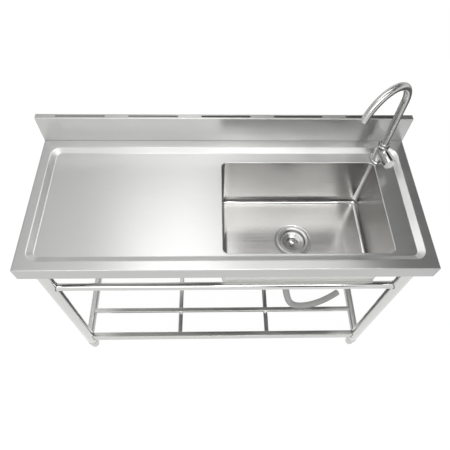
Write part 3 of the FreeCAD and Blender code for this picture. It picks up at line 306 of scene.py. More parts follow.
def rounded_outline(x_low, x_high, y_low, y_high, radius, steps=10):
    """Points round a rectangle with round corners, anticlockwise from its front right corner, with
    one more point on the straight side before and after each corner."""
    beside = 0.012
    turns = (
        (x_high - radius, y_low + radius, -90),
        (x_high - radius, y_high - radius, 0),
        (x_low + radius, y_high - radius, 90),
        (x_low + radius, y_low + radius, 180),
    )
    outline = []
    for centre_x, centre_y, start in turns:
        arc = []
        for step in range(steps + 1):
            angle = math.radians(start + 90 * step / steps)
            arc.append((centre_x + radius * math.cos(angle), centre_y + radius * math.sin(angle)))
        turn_x, turn_y = math.cos(math.radians(start)), math.sin(math.radians(start))
        before = (arc[0][0] + beside * turn_y, arc[0][1] - beside * turn_x)
        after = (arc[-1][0] - beside * turn_x, arc[-1][1] - beside * turn_y)
        outline += [before] + arc + [after]
    return outline


def circle_outline(centre_x, centre_y, radius, steps=64):
    angles = [2 * math.pi * step / steps for step in range(steps)]
    return [(centre_x + radius * math.cos(angle), centre_y + radius * math.sin(angle)) for angle in angles]


def quarter_arc(steps):
    """Cosine and sine of even steps through a quarter turn."""
    angles = [math.radians(90 * step / steps) for step in range(steps + 1)]
    return [(math.cos(angle), math.sin(angle)) for angle in angles]


def ring_at(outline, level):
    return [(x, y, level) for x, y in outline]


def add_rings(build, rings):
    """Join rings of equally many points, one after another, with quads. Each ring is a list of
    (x, y, z) points. Gives back the first and last ring's vertices."""
    rows = [[build.verts.new(point) for point in ring] for ring in rings]
    for lower, upper in zip(rows, rows[1:]):
        bridge(build, lower, upper)
    return rows[0], rows[-1]


def bridge(build, first, last):
    """Quads between two rings of vertices that have equally many points."""
    for index in range(len(first)):
        after = (index + 1) % len(first)
        build.faces.new((first[index], first[after], last[after], last[index]))


def fill_between(build, rings):
    """Fill the level area between an outer ring of vertices and the holes in it."""
    edges = []
    for ring in rings:
        for index, vertex in enumerate(ring):
            after = ring[(index + 1) % len(ring)]
            edges.append(build.edges.get((vertex, after)) or build.edges.new((vertex, after)))
    bmesh.ops.triangle_fill(build, use_beauty=True, use_dissolve=False, edges=edges)


def made_mesh(build, name):
    """Turn a build into a plain mesh whose faces point outwards."""
    bmesh.ops.recalc_face_normals(build, faces=build.faces)
    mesh = bpy.data.meshes.new(name)
    build.to_mesh(mesh)
    build.free()
    return mesh


def finish_piece(build, name, material, body, nodes):
    """Make the build into a smooth-shaded piece that rides on its body and stands for its nodes."""
    crease = 35.0
    bmesh.ops.remove_doubles(build, verts=build.verts, dist=1e-6)
    mesh = made_mesh(build, name)
    mesh.polygons.foreach_set("use_smooth", [True] * len(mesh.polygons))
    mesh.set_sharp_from_angle(angle=math.radians(crease))
    mesh.materials.append(material)
    piece = bpy.data.objects.new(name, mesh)
    scene.collection.objects.link(piece)
    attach(piece, body)
    if nodes:
        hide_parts(*nodes)
    return piece


def middle(node):
    """The centre of a node's box."""
    low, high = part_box(node)
    return (low + high) / 2


# Long scratches smear the lights into soft bands that run from front to back.
sheet_steel = steel_finish("brushed_sheet_steel", "#C3C3C2", 0.33, (0.16, 0.002, 0.002), anisotropy=0.82)
sheet_wall = 0.0012
top_low, top_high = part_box("worktop")
rim_level = top_high.z
fold_radius = 0.0025
corner_radius = 0.003
rim_width = 0.030
splash_depth = 0.020
slope_run = 0.018
recess_depth = 0.010
recess_corner = 0.034
deck_level = rim_level - recess_depth
bowl_low, bowl_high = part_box("bowl")
bowl_reach = 0.0052
opening_corner = 0.017
roll_width = 0.0025
roll_drop = 0.002
tap_x, tap_y = middle("tap_base").xy
tap_hole_radius = 0.0175


def top_outline(inset):
    return rounded_outline(
        top_low.x + inset, top_high.x - inset, top_low.y + inset, top_high.y - inset, corner_radius,
    )


def recess_outline(inset):
    """The recess's edge, moved inwards; it keeps clear of the backsplash at the rear."""
    reach = rim_width + inset
    rear = top_high.y - splash_depth - reach
    return rounded_outline(
        top_low.x + reach, top_high.x - reach, top_low.y + reach, rear, recess_corner - inset,
    )


def opening_outline(offset):
    """The bowl's opening, made larger all round by an offset."""
    reach = bowl_reach - offset
    least_corner = 0.002
    return rounded_outline(
        bowl_low.x + reach, bowl_high.x - reach, bowl_low.y + reach, bowl_high.y - reach,
        max(opening_corner + offset, least_corner),
    )


def worktop_skin(thickness):
    """Rings of the sheet's upper face, or of its lower face when given the sheet's thickness."""
    rings = [ring_at(top_outline(thickness), top_low.z)]
    radius = fold_radius - thickness
    for cosine, sine in quarter_arc(5):
        inset = thickness + radius * (1 - cosine)
        rings.append(ring_at(top_outline(inset), rim_level - fold_radius + radius * sine))
    fold_margin, recess_margin, deck_margin = 0.003, 0.007, 0.001
    rings.append(ring_at(top_outline(fold_radius + fold_margin), rim_level - thickness))
    rings.append(ring_at(recess_outline(-recess_margin), rim_level - thickness))
    bend = 0.002
    bend_steps = 5
    fall = recess_depth / slope_run
    for step in range(bend_steps + 1):
        share = step / bend_steps
        drop = bend * fall * share * share
        rings.append(ring_at(recess_outline(bend * (2 * share - 1)), rim_level - drop - thickness))
    for step in range(bend_steps + 1):
        share = step / bend_steps
        drop = recess_depth - bend * fall * (1 - share) ** 2
        inset = slope_run + bend * (2 * share - 1)
        rings.append(ring_at(recess_outline(inset), rim_level - drop - thickness))
    rings.append(ring_at(recess_outline(slope_run + bend + deck_margin), deck_level - thickness))
    return rings


def opening_skin(thickness):
    """Rings of the rolled edge round the bowl's opening, from the level deck down."""
    roll_margin = 0.001
    rings = [ring_at(opening_outline(roll_width + roll_margin), deck_level - thickness)]
    for cosine, sine in quarter_arc(8):
        offset = roll_width * (1 - sine) + thickness * sine
        level = deck_level - roll_drop * (1 - cosine) - thickness * cosine
        rings.append(ring_at(opening_outline(offset), level))
    return rings


build = bmesh.new()
apron_foot, deck_edge = add_rings(build, worktop_skin(0.0))
apron_foot_under, deck_edge_under = add_rings(build, worktop_skin(sheet_wall))
opening_edge, opening_foot = add_rings(build, opening_skin(0.0))
opening_edge_under, opening_foot_under = add_rings(build, opening_skin(sheet_wall))
tap_circle = circle_outline(tap_x, tap_y, tap_hole_radius)
tap_hole, tap_hole_under = add_rings(build, [
    ring_at(tap_circle, deck_level), ring_at(tap_circle, deck_level - sheet_wall),
])
fill_between(build, (deck_edge, opening_edge, tap_hole))
fill_between(build, (deck_edge_under, opening_edge_under, tap_hole_under))
bridge(build, apron_foot, apron_foot_under)
bridge(build, opening_foot, opening_foot_under)
finish_piece(build, "worktop_sheet", sheet_steel, "frame", ["worktop"])


# Backsplash: one stainless sheet folded into an upstand with a top return, a rear lip and a foot
# that is welded to the rim. A row of long slots is punched through the top return, and a plate is
# welded into each end.
def soften(corners, radius):
    """A closed outline with each corner rounded, as far as its two sides have room."""
    steps = 4
    side_share = 0.45
    outline = []
    count = len(corners)
    for index, corner in enumerate(corners):
        here = Vector(corner)
        back = Vector(corners[index - 1]) - here
        onward = Vector(corners[(index + 1) % count]) - here
        reach = min(radius, side_share * back.length, side_share * onward.length)
        start = here + back.normalized() * reach
        end = here + onward.normalized() * reach
        for step in range(steps + 1):
            share = step / steps
            blend = start * (1 - share) ** 2 + here * (2 * share * (1 - share)) + end * share ** 2
            outline.append((blend.x, blend.y))
    return outline


def mesh_build(mesh):
    """A build that starts from a plain mesh."""
    build = bmesh.new()
    build.from_mesh(mesh)
    return build


def baked(piece_object):
    """The object's mesh with its modifiers worked in, and the object removed."""
    bpy.context.view_layer.update()
    ready = piece_object.evaluated_get(bpy.context.evaluated_depsgraph_get())
    mesh = bpy.data.meshes.new_from_object(ready)
    bpy.data.objects.remove(piece_object)
    return mesh


def grown(tree, base_mesh, **inputs):
    """Run a geometry tree on a mesh with the given inputs, and give back the finished mesh."""
    holder = bpy.data.objects.new("holder", base_mesh)
    scene.collection.objects.link(holder)
    grow = holder.modifiers.new("grow", "NODES")
    grow.node_group = tree
    for item in tree.interface.items_tree:
        if item.item_type == "SOCKET" and item.in_out == "INPUT" and item.name in inputs:
            grow[item.identifier] = inputs[item.name]
    return baked(holder)


def geometry_tree(name, **inputs):
    """A geometry tree with a mesh input, inputs whose names are listed under their kind, and a finish.
    Gives back the tree and its input node."""
    tree = bpy.data.node_groups.new(name, "GeometryNodeTree")
    for kind, labels in {"Geometry": "Geometry", **inputs, "Material": "Finish"}.items():
        for label in labels.split():
            tree.interface.new_socket(label, in_out="INPUT", socket_type="NodeSocket" + kind)
    tree.interface.new_socket("Geometry", in_out="OUTPUT", socket_type="NodeSocketGeometry")
    return tree, add_node(tree, "NodeGroupInput")


def rounded_section(tree, width, height, corner, steps):
    """A closed rectangle with round corners, whose sizes are links from other nodes."""
    rectangle = add_node(tree, "GeometryNodeCurvePrimitiveQuadrilateral", {
        "Width": width, "Height": height,
    })
    return add_node(tree, "GeometryNodeFilletCurve", {
        "Curve": (rectangle, 0), "Count": steps, "Radius": corner,
    }, mode="POLY")


def row_of_copies(tree, given, item):
    """Copies of one item in an even row, laid out by the inputs First, Step and Count."""
    row = add_node(tree, "GeometryNodeMeshLine", {
        "Count": (given, "Count"), "Start Location": (given, "First"), "Offset": (given, "Step"),
    })
    return add_node(tree, "GeometryNodeInstanceOnPoints", {"Points": (row, 0), "Instance": (item, 0)})


def cut_by(tree, given, copies):
    """The mesh that is handed to the tree, with the copies cut out of it."""
    cutters = add_node(tree, "GeometryNodeRealizeInstances", {"Geometry": (copies, 0)})
    return add_node(tree, "GeometryNodeMeshBoolean", {
        "Mesh 1": (given, "Geometry"), "Mesh 2": (cutters, 0),
    }, operation="DIFFERENCE")


def end_tree(tree, given, result):
    """Close a geometry tree: real geometry, with the finish on it."""
    real = add_node(tree, "GeometryNodeRealizeInstances", {"Geometry": (result, 0)})
    dressed = add_node(tree, "GeometryNodeSetMaterial", {
        "Geometry": (real, 0), "Material": (given, "Finish"),
    })
    add_node(tree, "NodeGroupOutput", {"Geometry": (dressed, 0)})


slot_tree, slot_in = geometry_tree(
    "punched_slots", Vector="First Step", Int="Count", Float="Length Width Depth",
)
nearly_half = 0.499
slot_half = add_node(slot_tree, "ShaderNodeMath", {
    0: (slot_in, "Width"), 1: nearly_half,
}, operation="MULTIPLY")
slot_round = rounded_section(slot_tree, (slot_in, "Length"), (slot_in, "Width"), (slot_half, 0), 8)
slot_face = add_node(slot_tree, "GeometryNodeFillCurve", {"Curve": (slot_round, 0)}, mode="NGONS")
slot_punch = add_node(slot_tree, "GeometryNodeExtrudeMesh", {
    "Mesh": (slot_face, 0), "Offset Scale": (slot_in, "Depth"), "Individual": False,
}, mode="FACES")
slot_flipped = add_node(slot_tree, "GeometryNodeFlipFaces", {"Mesh": (slot_face, 0)})
slot_block = add_node(slot_tree, "GeometryNodeJoinGeometry")
slot_tree.links.new(slot_punch.outputs[0], slot_block.inputs[0])
slot_tree.links.new(slot_flipped.outputs[0], slot_block.inputs[0])
slot_closed = add_node(slot_tree, "GeometryNodeMergeByDistance", {
    "Geometry": (slot_block, 0), "Distance": 1e-5,
})
slot_cut = cut_by(slot_tree, slot_in, row_of_copies(slot_tree, slot_in, slot_closed))
end_tree(slot_tree, slot_in, slot_cut)

# The same sheet as the worktop, brushed a little finer: the deck shows in it as a soft image.
splash_steel = steel_finish("brushed_splash_steel", "#C3C3C2", 0.32, (0.16, 0.002, 0.002), anisotropy=0.8)
splash_low, splash_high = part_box("backsplash")
splash_lip = 0.015
splash_foot = 0.015
splash_bend = 0.0022
slot_length = 0.157
slot_width = 0.008
slot_pitch = 0.230
slot_count = 5
punch_depth = 0.008
front, foot, back, top, wall = splash_low.y, splash_low.z, splash_high.y, splash_high.z, sheet_wall
splash_fold = soften((
    (front, foot), (front, top), (back, top), (back, top - splash_lip),
    (back - wall, top - splash_lip), (back - wall, top - wall), (front + wall, top - wall),
    (front + wall, foot + wall), (front + splash_foot, foot + wall), (front + splash_foot, foot),
), splash_bend)
build = bmesh.new()
left_end, right_end = add_rings(build, [
    [(x, y, z) for y, z in splash_fold] for x in (splash_low.x, splash_high.x)
])
build.faces.new(left_end)
build.faces.new(right_end)
punched_mesh = grown(
    slot_tree, made_mesh(build, "folded_splash"), Finish=splash_steel,
    First=(-slot_pitch * (slot_count - 1) / 2, (front + back) / 2, top - punch_depth / 2),
    Step=(slot_pitch, 0.0, 0.0), Count=slot_count, Length=slot_length, Width=slot_width,
    Depth=punch_depth,
)
finish_piece(
    mesh_build(punched_mesh), "splash_sheet", splash_steel, "frame", ["backsplash"],
)


def dress(material, *nodes):
    """Give a finish to nodes whose own shape is right."""
    for node in nodes:
        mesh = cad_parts[node].data
        mesh.materials.clear()
        mesh.materials.append(material)


dress(splash_steel, "splash_end_left", "splash_end_right")


# Bowl: deep box with round corners, drawn from stainless sheet, welded under the opening and ground
# flush. Its walls are brushed level and coarsely, and its floor finer, along its length, and the walls'
# colour is painted darker than the floor's as painted shade. The outside has a pale sprayed coat, and
# its base and the bend round it are dark grey.
def plain_finish(name, colour, metallic, roughness, patch, contrast=0.12):
    """A finish with faint patches of lighter and darker tone, patch metres across, and a slight relief."""
    material = empty_material(name)
    tree = material.node_tree
    place = add_node(tree, "ShaderNodeTexCoord")
    patches = add_node(tree, "ShaderNodeTexNoise", {
        "Vector": (place, "Object"), "Scale": 1 / patch, "Detail": 4.0, "Roughness": 0.6,
    })
    dark, pale = two_tones(colour, contrast)
    tint = add_node(tree, "ShaderNodeMix", {
        "Factor": (patches, 0), 6: dark, 7: pale,
    }, data_type="RGBA")
    rough_spread = 0.1
    rough = add_node(tree, "ShaderNodeMapRange", {
        "Value": (patches, 0), "From Min": 0.3, "From Max": 0.7,
        "To Min": roughness - rough_spread / 2, "To Max": roughness + rough_spread / 2,
    })
    relief = add_node(tree, "ShaderNodeBump", {
        "Height": (patches, 0), "Strength": 0.1, "Distance": patch / 20,
    })
    shader = add_node(tree, "ShaderNodeBsdfPrincipled", {
        "Base Color": (tint, 2), "Metallic": metallic, "Roughness": (rough, 0), "Normal": (relief, 0),
    })
    add_node(tree, "ShaderNodeOutputMaterial", {"Surface": (shader, 0)})
    return material


# Painted shade: the walls' colour is darkened to 0.55 of the floor's. The floor and the bends are also
# shinier where the tool rubbed them.
bowl_steel = steel_finish("brushed_bowl_steel", "#D2D1CF", 0.32, (0.2, 0.002, 0.002), painted_shade_share=0.55)
# The pale sprayed coat is matt and even; the dark grey on the base and the bend round it is a near-black
# grain.
bowl_undercoat = plain_finish("pale_bowl_undercoat", "#EDEDEA", 0.0, 0.6, 0.01, contrast=0.05)
bowl_dark_base = plain_finish("dark_bowl_base_grey", "#3A3A38", 0.0, 0.7, 0.006)
undercoat_slot, dark_base_slot = 1, 2
bowl_floor = bowl_low.z + sheet_wall
bowl_fillet = 0.015
bowl_top = deck_level - roll_drop
drain_x, drain_y = middle("strainer_body").xy
drain_hole = 0.045
seat_drop = 0.0009


def bowl_skin(thickness):
    """Rings of the bowl's inner face, or of its outer face when given the sheet's thickness."""
    rings = [ring_at(opening_outline(thickness), bowl_top - thickness)]
    fillet = bowl_fillet + thickness
    level = bowl_floor - thickness
    wall_steps = 6
    for step in range(1, wall_steps + 1):
        height = bowl_top - thickness + (level + fillet - bowl_top + thickness) * step / wall_steps
        rings.append(ring_at(opening_outline(thickness), height))
    for cosine, sine in quarter_arc(8)[1:]:
        offset = thickness - fillet * (1 - cosine)
        rings.append(ring_at(opening_outline(offset), level + fillet * (1 - sine)))
    floor_margin = 0.008
    rings.append(ring_at(opening_outline(-bowl_fillet - floor_margin), level))
    return rings


build = bmesh.new()
bowl_rim_under, bowl_base_under = add_rings(build, bowl_skin(sheet_wall))
dark_base_edge = bowl_low.z + bowl_fillet
for face in build.faces:
    face.material_index = undercoat_slot if face.calc_center_median().z > dark_base_edge else dark_base_slot
bowl_rim, bowl_base = add_rings(build, bowl_skin(0.0))
flange_outline = opening_outline(bowl_reach)
flange_edge, flange_edge_under = add_rings(build, [
    ring_at(flange_outline, bowl_top), ring_at(flange_outline, bowl_top - sheet_wall),
])
bridge(build, bowl_rim, flange_edge)
bridge(build, flange_edge_under, bowl_rim_under)
drain_seat, drain_rim_under = add_rings(build, [
    ring_at(circle_outline(drain_x, drain_y, radius), bowl_floor - drop)
    for radius, drop in (
        (0.0650, 0.0), (0.0622, 0.0), (0.0614, 0.2 * seat_drop), (0.0606, seat_drop),
        (drain_hole, seat_drop), (drain_hole, sheet_wall),
    )
])
fill_between(build, (bowl_base, drain_seat))
inner_faces = set(build.faces)
fill_between(build, (bowl_base_under, drain_rim_under))
for face in set(build.faces) - inner_faces:
    face.material_index = dark_base_slot
bowl_shell = finish_piece(build, "bowl_shell", bowl_steel, "frame", ["bowl"])
bowl_shell.data.materials.append(bowl_undercoat)
bowl_shell.data.materials.append(bowl_dark_base)


def mark_polish_and_shade(piece, floor_level):
    """Mark how polished a drawn piece is: its walls are coarse, its floor is worn shinier, and its
    bends are rubbed shinier by the drawing tool, most of all those round the floor. In a finish that
    paints shade, the same mark also makes the walls' colour darker than the floor's, as painted shade."""
    wall_polish, corner_polish, floor_polish, floor_bend_polish = 0.0, 0.12, 0.58, 1.0
    least_turn, most_turn = 4.0, 30.0
    near = 0.001
    polish = piece.data.attributes.new("polish", "FLOAT", "POINT")
    build = mesh_build(piece.data)
    for vertex in build.verts:
        turns = [math.degrees(edge.calc_face_angle(0.0)) for edge in vertex.link_edges]
        on_floor = vertex.co.z < floor_level + near
        upright = vertex.co.z > floor_level + bowl_fillet - near
        if any(least_turn < turn < most_turn for turn in turns):
            polish.data[vertex.index].value = corner_polish if upright else floor_bend_polish
        else:
            polish.data[vertex.index].value = floor_polish if on_floor else wall_polish
    build.free()


mark_polish_and_shade(bowl_shell, bowl_floor)


# Underside: a galvanised channel under each end of the worktop with a socket for each leg, held by
# set screws. The channels are folded and dipped; the screws are plated.
corners = ("front_left", "front_right", "rear_left", "rear_right")
# Hot-dip zinc: dull grey with paler and darker spangles.
zinc_steel = plain_finish("galvanised_channel_steel", "#A9ACAE", 1.0, 0.5, 0.012)
dress(zinc_steel, "channel_left", "channel_right", *("leg_socket_" + corner for corner in corners))
# Zinc-plated steel: cool grey with a tighter shine than the dipped one.
screw_steel = plain_finish("zinc_screw_steel", "#B4B4B6", 1.0, 0.35, 0.002)
dress(screw_steel, "socket_screws", "tap_washer")


# Legs: round stainless tube, drawn and polished along its length, pushed into the sockets. A black
# nylon insert closes each lower end and takes the foot's thread.
def add_turned(build, outline, rounding, centre, axis=(0.0, 0.0, 1.0), steps=64):
    """A closed turned solid: its outline as (radius, height) points about an axis from a centre, with
    the corners rounded. An outline that starts and ends on the axis is closed there by its poles."""
    turn = Vector((0.0, 0.0, 1.0)).rotation_difference(Vector(axis))

    def ring_round(radius, height):
        points = [Vector((x, y, height)) for x, y in circle_outline(0.0, 0.0, radius, steps)]
        return [tuple(turn @ point + Vector(centre)) for point in points]

    profile = soften(outline, rounding)
    solid = outline[0][0] == 0.0
    if solid:
        per_corner = len(profile) // len(outline)
        profile = profile[per_corner:-per_corner]
    first, last = add_rings(build, [ring_round(radius, height) for radius, height in profile])
    if solid:
        for ring, end in ((first, outline[0]), (last, outline[-1])):
            pole = build.verts.new(ring_round(*end)[0])
            for index in range(len(ring)):
                build.faces.new((ring[index], ring[(index + 1) % len(ring)], pole))
    else:
        bridge(build, last, first)


def tube_outline(radius, low, high):
    return ((radius - tube_wall, low), (radius, low), (radius, high), (radius - tube_wall, high))


def levels(node):
    """The lower and the upper level of a node's box."""
    low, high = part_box(node)
    return low.z, high.z


def turned_piece(name, outline, rounding, centre, material, body, slot, node, **way):
    """A turned solid as a piece of its own; way holds its axis and the steps round it."""
    build = bmesh.new()
    add_turned(build, outline, rounding, centre, **way)
    return finish_piece(build, name, material, body, [node])


# Tube polished along its length: sharp bright and dark stripes that run up the leg.
leg_steel = steel_finish(
    "polished_leg_steel", "#D2D2D0", 0.16, (0.002, 0.002, 0.12), axis="Z", contrast=0.04,
)
leg_radius = 0.019
tube_wall = 0.0012
for corner in corners:
    leg_outline = tube_outline(leg_radius, *levels("leg_" + corner))
    leg_place = (*middle("leg_" + corner).xy, 0.0)
    turned_piece(
        "leg_tube_" + corner, leg_outline, 0.0004, leg_place, leg_steel, "frame", "steel_tube",
        "leg_" + corner,
    )
# Moulded nylon: black with a soft, low shine.
nylon_black = plain_finish("black_nylon", "#1C1C1C", 0.0, 0.5, 0.004)
dress(nylon_black, *("leg_insert_" + corner for corner in corners))


# Front rail: round stainless tube between the front legs, thinner than they are. Its ends run just
# inside the legs' walls and are welded all round.
# The legs' polish lying down, so the stripes of light run level.
rail_steel = steel_finish(
    "polished_rail_steel", "#D2D2D0", 0.16, (0.12, 0.002, 0.002), axis="X", contrast=0.04,
)
rail_foot, rail_top = levels("front_rail")
rail_radius = (rail_top - rail_foot) / 2
rail_centre = middle("front_rail")
rail_bite = 0.1 * leg_radius
rail_half = middle("leg_front_right").x - leg_radius + rail_bite
turned_piece(
    "front_rail_tube", tube_outline(rail_radius, -rail_half, rail_half), 0.0003, rail_centre, rail_steel,
    "frame", "steel_tube", "front_rail", axis=(1.0, 0.0, 0.0), steps=48,
)


# Undershelf: flat stainless tube on edge makes its frame, welded to the legs. Square tube slats lie
# between the side bars, and two square crossbars are welded under them.
bar_tree, bar_in = geometry_tree(
    "bar_row", Vector="First Step Run", Int="Count", Float="Width Height Corner",
)
bar_section = rounded_section(bar_tree, (bar_in, "Width"), (bar_in, "Height"), (bar_in, "Corner"), 4)
bar_start, bar_end = (
    add_node(bar_tree, "ShaderNodeVectorMath", {0: (bar_in, "Run"), "Scale": half}, operation="SCALE")
    for half in (-0.5, 0.5)
)
bar_line = add_node(bar_tree, "GeometryNodeCurvePrimitiveLine", {
    "Start": (bar_start, 0), "End": (bar_end, 0),
})
bar_solid = add_node(bar_tree, "GeometryNodeCurveToMesh", {
    "Curve": (bar_line, 0), "Profile Curve": (bar_section, 0), "Fill Caps": True,
})
end_tree(bar_tree, bar_in, row_of_copies(bar_tree, bar_in, bar_solid))


def add_bars(name, material, nodes, corner):
    """Rounded tubes in an even row, in the places of the nodes that they stand for."""
    low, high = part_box(nodes[0])
    size = high - low
    first, second = middle(nodes[0]), middle(nodes[1])
    lengthwise = size.x > size.y
    mesh = grown(
        bar_tree, bpy.data.meshes.new(name), Finish=material, First=tuple(first),
        Step=tuple(second - first), Count=len(nodes),
        Run=(size.x, 0.0, 0.0) if lengthwise else (0.0, size.y, 0.0),
        Width=size.y if lengthwise else size.x, Height=size.z, Corner=corner,
    )
    finish_piece(mesh_build(mesh), name, material, "frame", nodes)


# Satin tube: broad soft reflections. There is one finish for each way that the brushing runs.
satin_along, satin_deep = (
    steel_finish(name, "#CCCCCA", 0.28, grain, axis=axis, anisotropy=0.4)
    for name, grain, axis in (
        ("satin_rail_steel", (0.12, 0.002, 0.002), "X"), ("satin_bar_steel", (0.002, 0.12, 0.002), "Y"),
    )
)
flat_corner, square_corner = 0.0015, 0.0012
add_bars("shelf_long_rails", satin_along, ["shelf_rail_front", "shelf_rail_rear"], flat_corner)
add_bars("shelf_side_bars", satin_deep, ["shelf_side_left", "shelf_side_right"], flat_corner)
add_bars("shelf_slats", satin_along, ["shelf_slat_1", "shelf_slat_2", "shelf_slat_3"], square_corner)
add_bars("shelf_crossbars", satin_deep, ["shelf_crossbar_left", "shelf_crossbar_right"], square_corner)


# Welds: a bead of filler runs round each end of the front rail and of the shelf's frame where they
# meet the legs. Each bead is a row of small overlapping ripples, left as the torch made them.
weld_tree, weld_in = geometry_tree("weld_ripples", Float="Pitch Bead")
weld_line = add_node(weld_tree, "GeometryNodeMeshToCurve", {"Mesh": (weld_in, "Geometry")})
weld_spots = add_node(weld_tree, "GeometryNodeResampleCurve", {
    "Curve": (weld_line, 0), "Length": (weld_in, "Pitch"),
}, mode="LENGTH")
weld_ripple = add_node(weld_tree, "GeometryNodeMeshIcoSphere", {
    "Radius": (weld_in, "Bead"), "Subdivisions": 2,
})
weld_copies = add_node(weld_tree, "GeometryNodeInstanceOnPoints", {
    "Points": (weld_spots, 0), "Instance": (weld_ripple, 0),
})
end_tree(weld_tree, weld_in, weld_copies)


def add_weld_line(build, leg, way, section):
    """The line where a tube's outline, as (sideways, upward) points, meets a leg that it runs into."""
    across = Vector((-way.y, way.x, 0.0))
    spots = []
    for sideways, upward in section:
        reach = math.sqrt(leg_radius ** 2 - sideways ** 2)
        spots.append(build.verts.new(leg + way * reach + across * sideways + Vector((0.0, 0.0, upward))))
    for index, spot in enumerate(spots):
        build.edges.new((spot, spots[(index + 1) % len(spots)]))


# Bead left as welded: a little darker and browner than the tube, as filler is, and darker still as painted
# shade where the tubes meet the legs.
weld_steel = plain_finish("welded_filler_steel", "#8A8884", 1.0, 0.35, 0.004)
weld_pitch = 0.0022
weld_bead = 0.0018
flat_low, flat_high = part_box("shelf_rail_front")
half_flat = (flat_high.y - flat_low.y) / 2
flat_round = rounded_outline(-half_flat, half_flat, flat_low.z, flat_high.z, flat_corner, steps=3)
rail_round = circle_outline(0.0, rail_centre.z, rail_radius, steps=32)
build = bmesh.new()
for corner in corners:
    leg = Vector((*middle("leg_" + corner).xy, 0.0))
    inward_x = Vector((-math.copysign(1.0, leg.x), 0.0, 0.0))
    inward_y = Vector((0.0, -math.copysign(1.0, leg.y), 0.0))
    add_weld_line(build, leg, inward_x, flat_round)
    add_weld_line(build, leg, inward_y, flat_round)
    if corner.startswith("front"):
        add_weld_line(build, leg, inward_x, rail_round)
weld_mesh = grown(
    weld_tree, made_mesh(build, "weld_lines"), Finish=weld_steel, Pitch=weld_pitch, Bead=weld_bead,
)
finish_piece(mesh_build(weld_mesh), "frame_welds", weld_steel, "frame", [])


# Feet: bullet feet turned from stainless bar, each with a tapered toe, a neck, a collar to grip and a
# stem that screws into the leg's insert to level the sink.
# Lathe-turned steel: fine rings round the foot spread the shine up and down.
foot_steel = steel_finish(
    "turned_foot_steel", "#C6C6C4", 0.25, (0.04, 0.04, 0.001), axis="Z", turned=True, anisotropy=0.3,
)
stem_radius = 0.005
for corner in corners:
    low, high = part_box("foot_" + corner)
    foot_place = middle("foot_" + corner)
    collar, stem_top = (high.x - low.x) / 2, high.z - low.z
    turned_piece("bullet_foot_" + corner, (
        (0.0, 0.0), (0.0145, 0.0), (0.017, 0.009), (0.0172, 0.0415), (0.0158, 0.0425), (0.0158, 0.0440),
        (collar, 0.0450), (collar, 0.056), (stem_radius, 0.056), (stem_radius, stem_top), (0.0, stem_top),
    ), 0.0015, (foot_place.x, foot_place.y, low.z), foot_steel, "adjuster_" + corner, "foot_steel",
        "foot_" + corner)


# Strainer: spun stainless cup with a wide flange that sits in the bowl's drain, clamped from below by
# a rubber gasket and a plastic lock nut. A plastic tailpiece leads from it to the hose.
# Spun steel: rings of tool marks that send fans of light out from the centre.
spun_steel = steel_finish(
    "spun_strainer_steel", "#C8C8C6", 0.33, (0.03, 0.03, 0.03), axis="Z", turned=True, anisotropy=0.75,
)
outlet_foot, flange_top = levels("strainer_body")
strainer_place = (drain_x, drain_y, 0.0)
turned_piece("strainer_cup", (
    (0.017, outlet_foot), (0.021, outlet_foot), (0.021, outlet_foot + 0.020),
    (0.0435, outlet_foot + 0.035), (0.0435, bowl_floor), (0.057, bowl_floor),
    (0.0568, bowl_floor + 0.0012), (0.0545, flange_top), (0.0500, flange_top),
    (0.0470, flange_top - 0.0014), (0.0440, flange_top - 0.0016), (0.0412, bowl_floor - 0.0060),
    (0.0410, bowl_floor - 0.010), (0.0386, bowl_floor - 0.010), (0.0386, outlet_foot + 0.037),
    (0.017, outlet_foot + 0.022),
), 0.0008, strainer_place, spun_steel, "frame", "strainer_steel", "strainer_body", steps=96)
# Moulded rubber: flat black.
rubber_black = plain_finish("black_rubber", "#191919", 0.0, 0.7, 0.003)
dress(rubber_black, "strainer_gasket", "basket_seal", "tap_gasket")
# Moulded polypropylene: off-white and a little waxy.
waste_plastic = plain_finish("white_polypropylene", "#D9D9D5", 0.0, 0.4, 0.02, contrast=0.04)
dress(waste_plastic, "strainer_locknut", "coupling_nut", "tailpiece")


# Basket: dished stainless disc, spun like the cup, with two rings of drilled drain holes. It lifts out
# of the strainer by a turned and polished knob at its centre.
hole_tree, hole_in = geometry_tree(
    "drilled_ring", Vector="Centre", Int="Count", Float="Circle Radius Depth",
)
hole_ring = add_node(hole_tree, "GeometryNodeMeshCircle", {
    "Vertices": (hole_in, "Count"), "Radius": (hole_in, "Circle"),
})
hole_drill = add_node(hole_tree, "GeometryNodeMeshCylinder", {
    "Vertices": 16, "Radius": (hole_in, "Radius"), "Depth": (hole_in, "Depth"),
})
hole_copies = add_node(hole_tree, "GeometryNodeInstanceOnPoints", {
    "Points": (hole_ring, 0), "Instance": (hole_drill, 0),
})
hole_placed = add_node(hole_tree, "GeometryNodeTransform", {
    "Geometry": (hole_copies, 0), "Translation": (hole_in, "Centre"),
})
end_tree(hole_tree, hole_in, cut_by(hole_tree, hole_in, hole_placed))

